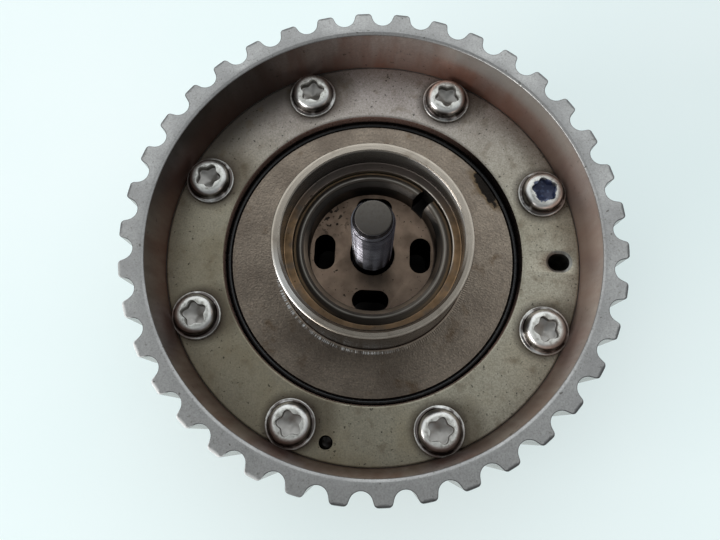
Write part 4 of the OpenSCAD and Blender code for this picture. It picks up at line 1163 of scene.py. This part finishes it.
cover_rows = []
for r, z, finish in eased(cover_profile):
    if abs(r - (COLLAR_R + (1 + GUARD) * FOOT_FILLET)) < SAME_ROW:
        cover_rows += [(r + extra, chattered(r + extra, z), DISC) for extra in RIPPLE_ROWS]
    at_foot = COLLAR_R + 0.05 < r < COLLAR_R + 2 and BOSS_TOP - 0.1 < z < BOSS_TOP + FOOT_FILLET
    cover_rows.append((r, chattered(r, z) if at_foot else z, finish))
cover_finishes = [blasted, ground, amber, faced]
cover_mesh = skin("rear_cover_turned", cover_rows, sides=4 * RIPPLES, finishes=cover_finishes)
place("rear_cover_turned", cover_mesh)
tool_rows = [(oblong(), DISC_BASE - PAST), (oblong(), RING_BASE + PAST)]
cover = drilled_through("rear_cover", DISC_BASE, RING_BASE, tool_rows, INSIDE)
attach(cover, "housing")
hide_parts("rear_cover")
print("rear cover faces", len(cover.data.polygons))

# %% [markdown]
# ## Locating dowel
# The dowel is a plain pin, but its end was sawn and battered when it was driven in. The last rows of its skin
# lean and wave with the angle, so the end breaks into a few dark facets.

# %% Battered dowel
DOWEL_R, DOWEL_BOTTOM, DOWEL_TOP = 1.3, 18.4, 28.4


def battered(height, lean, wave):
    """Height at an angle of a row that leans to one side and waves three times round."""
    return lambda a: height + lean * math.cos(a - 0.6) + wave * math.sin(3 * a + 0.5)


dowel_rows = [
    (0, DOWEL_BOTTOM, 0), (DOWEL_R - 0.2, DOWEL_BOTTOM, 0), (DOWEL_R, DOWEL_BOTTOM + 0.2, 0),
    (DOWEL_R, DOWEL_TOP - 1.0, 0), (DOWEL_R, battered(DOWEL_TOP - 0.4, 0.2, 0.08), 0),
    (DOWEL_R - 0.2, battered(DOWEL_TOP - 0.15, 0.22, 0.12), 0),
    (0.7, battered(DOWEL_TOP - 0.05, 0.05, 0.1), 0), (0, DOWEL_TOP - 0.3, 0),
]
dowel_mesh = skin("battered_dowel", dowel_rows, sides=24, finishes=[oiled])
dowel_mesh.transform(Matrix.Translation((DOWEL_AT[0] * MM, DOWEL_AT[1] * MM, 0)))
dowel = place("battered_dowel", dowel_mesh)
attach(dowel, "housing")
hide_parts("locating_dowel")
print("dowel faces", len(dowel.data.polygons))

# %% [markdown]
# ## Center bolt
# The bolt's thread is a helix: at every angle the same V profile, shifted along the axis by one pitch a turn.
# As rows of the skin, each row's radius follows the angle by that rule, and the long cone that leads the tip
# into its hole cuts it off.

# %% Threaded bolt
BOLT_R, BOLT_SHANK_R, THREAD_Z, THREAD_PITCH = 3.9, 3.5, 29.6, 1.0
THREAD_DEPTH, CREST, LEAD_H, LEAD_R = 0.5, 0.16, 2.2, 3.08
BOLT_SEAT, BOLT_FLANGE_R, BOLT_FLANGE_H = 12.15, 8.2, 1.6
BOLT_AF, BOLT_HEAD_H, HEAD_TOP_R = 13.0, 7.0, 5.6
THREAD_ROWS, RUN_IN, END_GAP = 12, 0.8, 0.1
# Width of a 60 degree flank as a share of half the pitch
FLANK_SHARE = THREAD_DEPTH * math.tan(math.radians(30)) / (THREAD_PITCH / 2)


def thread(z):
    """Radius of the thread at a height, as a function of the angle."""
    end = BOLT_R - (BOLT_R - LEAD_R) * max(0.0, z - (BOLT_TIP - LEAD_H)) / LEAD_H
    start = BOLT_R - max(0.0, THREAD_Z + RUN_IN - z)

    def radius(a):
        phase = (z / THREAD_PITCH - a / (2 * math.pi)) % 1
        from_crest = 1 - abs(2 * phase - 1)
        v = min(1.0, max(0.0, (from_crest - CREST) / FLANK_SHARE))
        return min(end, start, BOLT_R - THREAD_DEPTH * v)

    return radius


def hexagon(af):
    """Radius of a hexagon of that width across flats."""
    return lambda a: af / 2 / math.cos((a % (math.pi / 3)) - math.pi / 6)


head_z = BOLT_SEAT - BOLT_HEAD_H
flange_z = BOLT_SEAT - BOLT_FLANGE_H
across = hexagon(BOLT_AF)
spacing = THREAD_PITCH / THREAD_ROWS
count = int((BOLT_TIP - END_GAP - THREAD_Z) / spacing)
heights = [THREAD_Z + spacing * k for k in range(1, count + 1)]
# Radius and height: head, flange and shank, then the thread, then the end of the tip
bolt_outline = [
    (0, head_z), (HEAD_TOP_R, head_z), (HEAD_TOP_R + 0.6, head_z + 0.15), (across, head_z + 0.6),
    (across, flange_z - 0.2), (across, flange_z), (BOLT_FLANGE_R - 0.5, flange_z + 0.1),
    (BOLT_FLANGE_R - 0.1, flange_z + 0.4), (BOLT_FLANGE_R, flange_z + 0.7), (BOLT_FLANGE_R, BOLT_SEAT - 0.2),
    (BOLT_FLANGE_R - 0.2, BOLT_SEAT), (BOLT_SHANK_R + 0.4, BOLT_SEAT), (BOLT_SHANK_R, BOLT_SEAT + 0.4),
    (BOLT_SHANK_R, THREAD_Z), *[(thread(z), z) for z in heights],
    (LEAD_R - 0.02, BOLT_TIP - 0.03), (LEAD_R - 0.08, BOLT_TIP), (LEAD_R - 0.16, BOLT_TIP),
    (LEAD_R - 0.5, BOLT_TIP - 0.01), (0, BOLT_TIP - 0.02),
]
bolt_rows = [(radius, height, 0) for radius, height in bolt_outline]
bolt = place("threaded_bolt", skin("threaded_bolt", bolt_rows, sides=72, finishes=[bolt_steel]))
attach(bolt, "rotor")
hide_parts("center_bolt")
print("bolt faces", len(bolt.data.polygons))

# %% [markdown]
# ## Rotor, front cover and plug
# These shapes are right in the CAD model, but its edges are perfectly sharp, and no real edge is. A copy of
# each mesh is welded, its flat faces are joined, and a Bevel modifier breaks the edges. The copy replaces the
# node.

# %% Broken edges
SAME_POINT, FLAT = 0.0005 * MM, math.radians(0.5)
BEVEL_FROM, CREASE_FROM = math.radians(35), math.radians(30)


def broken_edges(node, name, finish, body, width):
    """A copy of a CAD node with its edges broken by width mm."""
    bm = bmesh.new()
    bm.from_mesh(nodes[node].data)
    bmesh.ops.remove_doubles(bm, verts=bm.verts, dist=SAME_POINT)
    bmesh.ops.dissolve_limit(
        bm, angle_limit=FLAT, verts=bm.verts, edges=bm.edges, use_dissolve_boundaries=False
    )
    mesh = bpy.data.meshes.new(name)
    bm.to_mesh(mesh)
    bm.free()
    mesh.materials.clear()
    mesh.materials.append(finish)
    piece = bpy.data.objects.new(name, mesh)
    bpy.context.scene.collection.objects.link(piece)
    bevel = piece.modifiers.new("broken_edge", "BEVEL")
    bevel.width, bevel.segments, bevel.limit_method = width * MM, 2, "ANGLE"
    bevel.angle_limit = BEVEL_FROM
    applied(piece)
    piece.data.polygons.foreach_set("use_smooth", [True] * len(piece.data.polygons))
    piece.data.set_sharp_from_angle(angle=CREASE_FROM)
    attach(piece, body)
    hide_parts(node)
    print(name, "faces", len(piece.data.polygons))


broken_edges("rotor", "vane_rotor", oiled, "rotor", width=0.12)
broken_edges("front_cover", "faced_front_cover", faced, "housing", width=0.15)
broken_edges("front_plug", "plated_front_plug", zinc, "housing", width=0.15)

# %% [markdown]
# ## Nodes that stay as they are
# Seals, springs, bushes, the housing and the lock pin are inside, and their CAD shapes are right. Each takes
# the finish of its material slot in the record, so that a cutaway view is dressed too.

# %% Finishes for the remaining nodes
FINISH_OF_SLOT = {
    "sintered_rim": sintered, "sintered_housing": dark_sintered, "sintered_rotor": oiled,
    "steel_cover": faced, "turned_steel": blasted, "phosphated_steel": phosphated, "zinc_steel": zinc,
    "dark_steel": bolt_steel, "hard_steel": ground, "black_rubber": rubber, "seal_plastic": plastic,
}
for sub in frame["record"]["subparts"]:
    node = nodes[sub["node"]]
    node.data.materials.clear()
    node.data.materials.append(FINISH_OF_SLOT[sub["material_slot"]])

# %% [markdown]
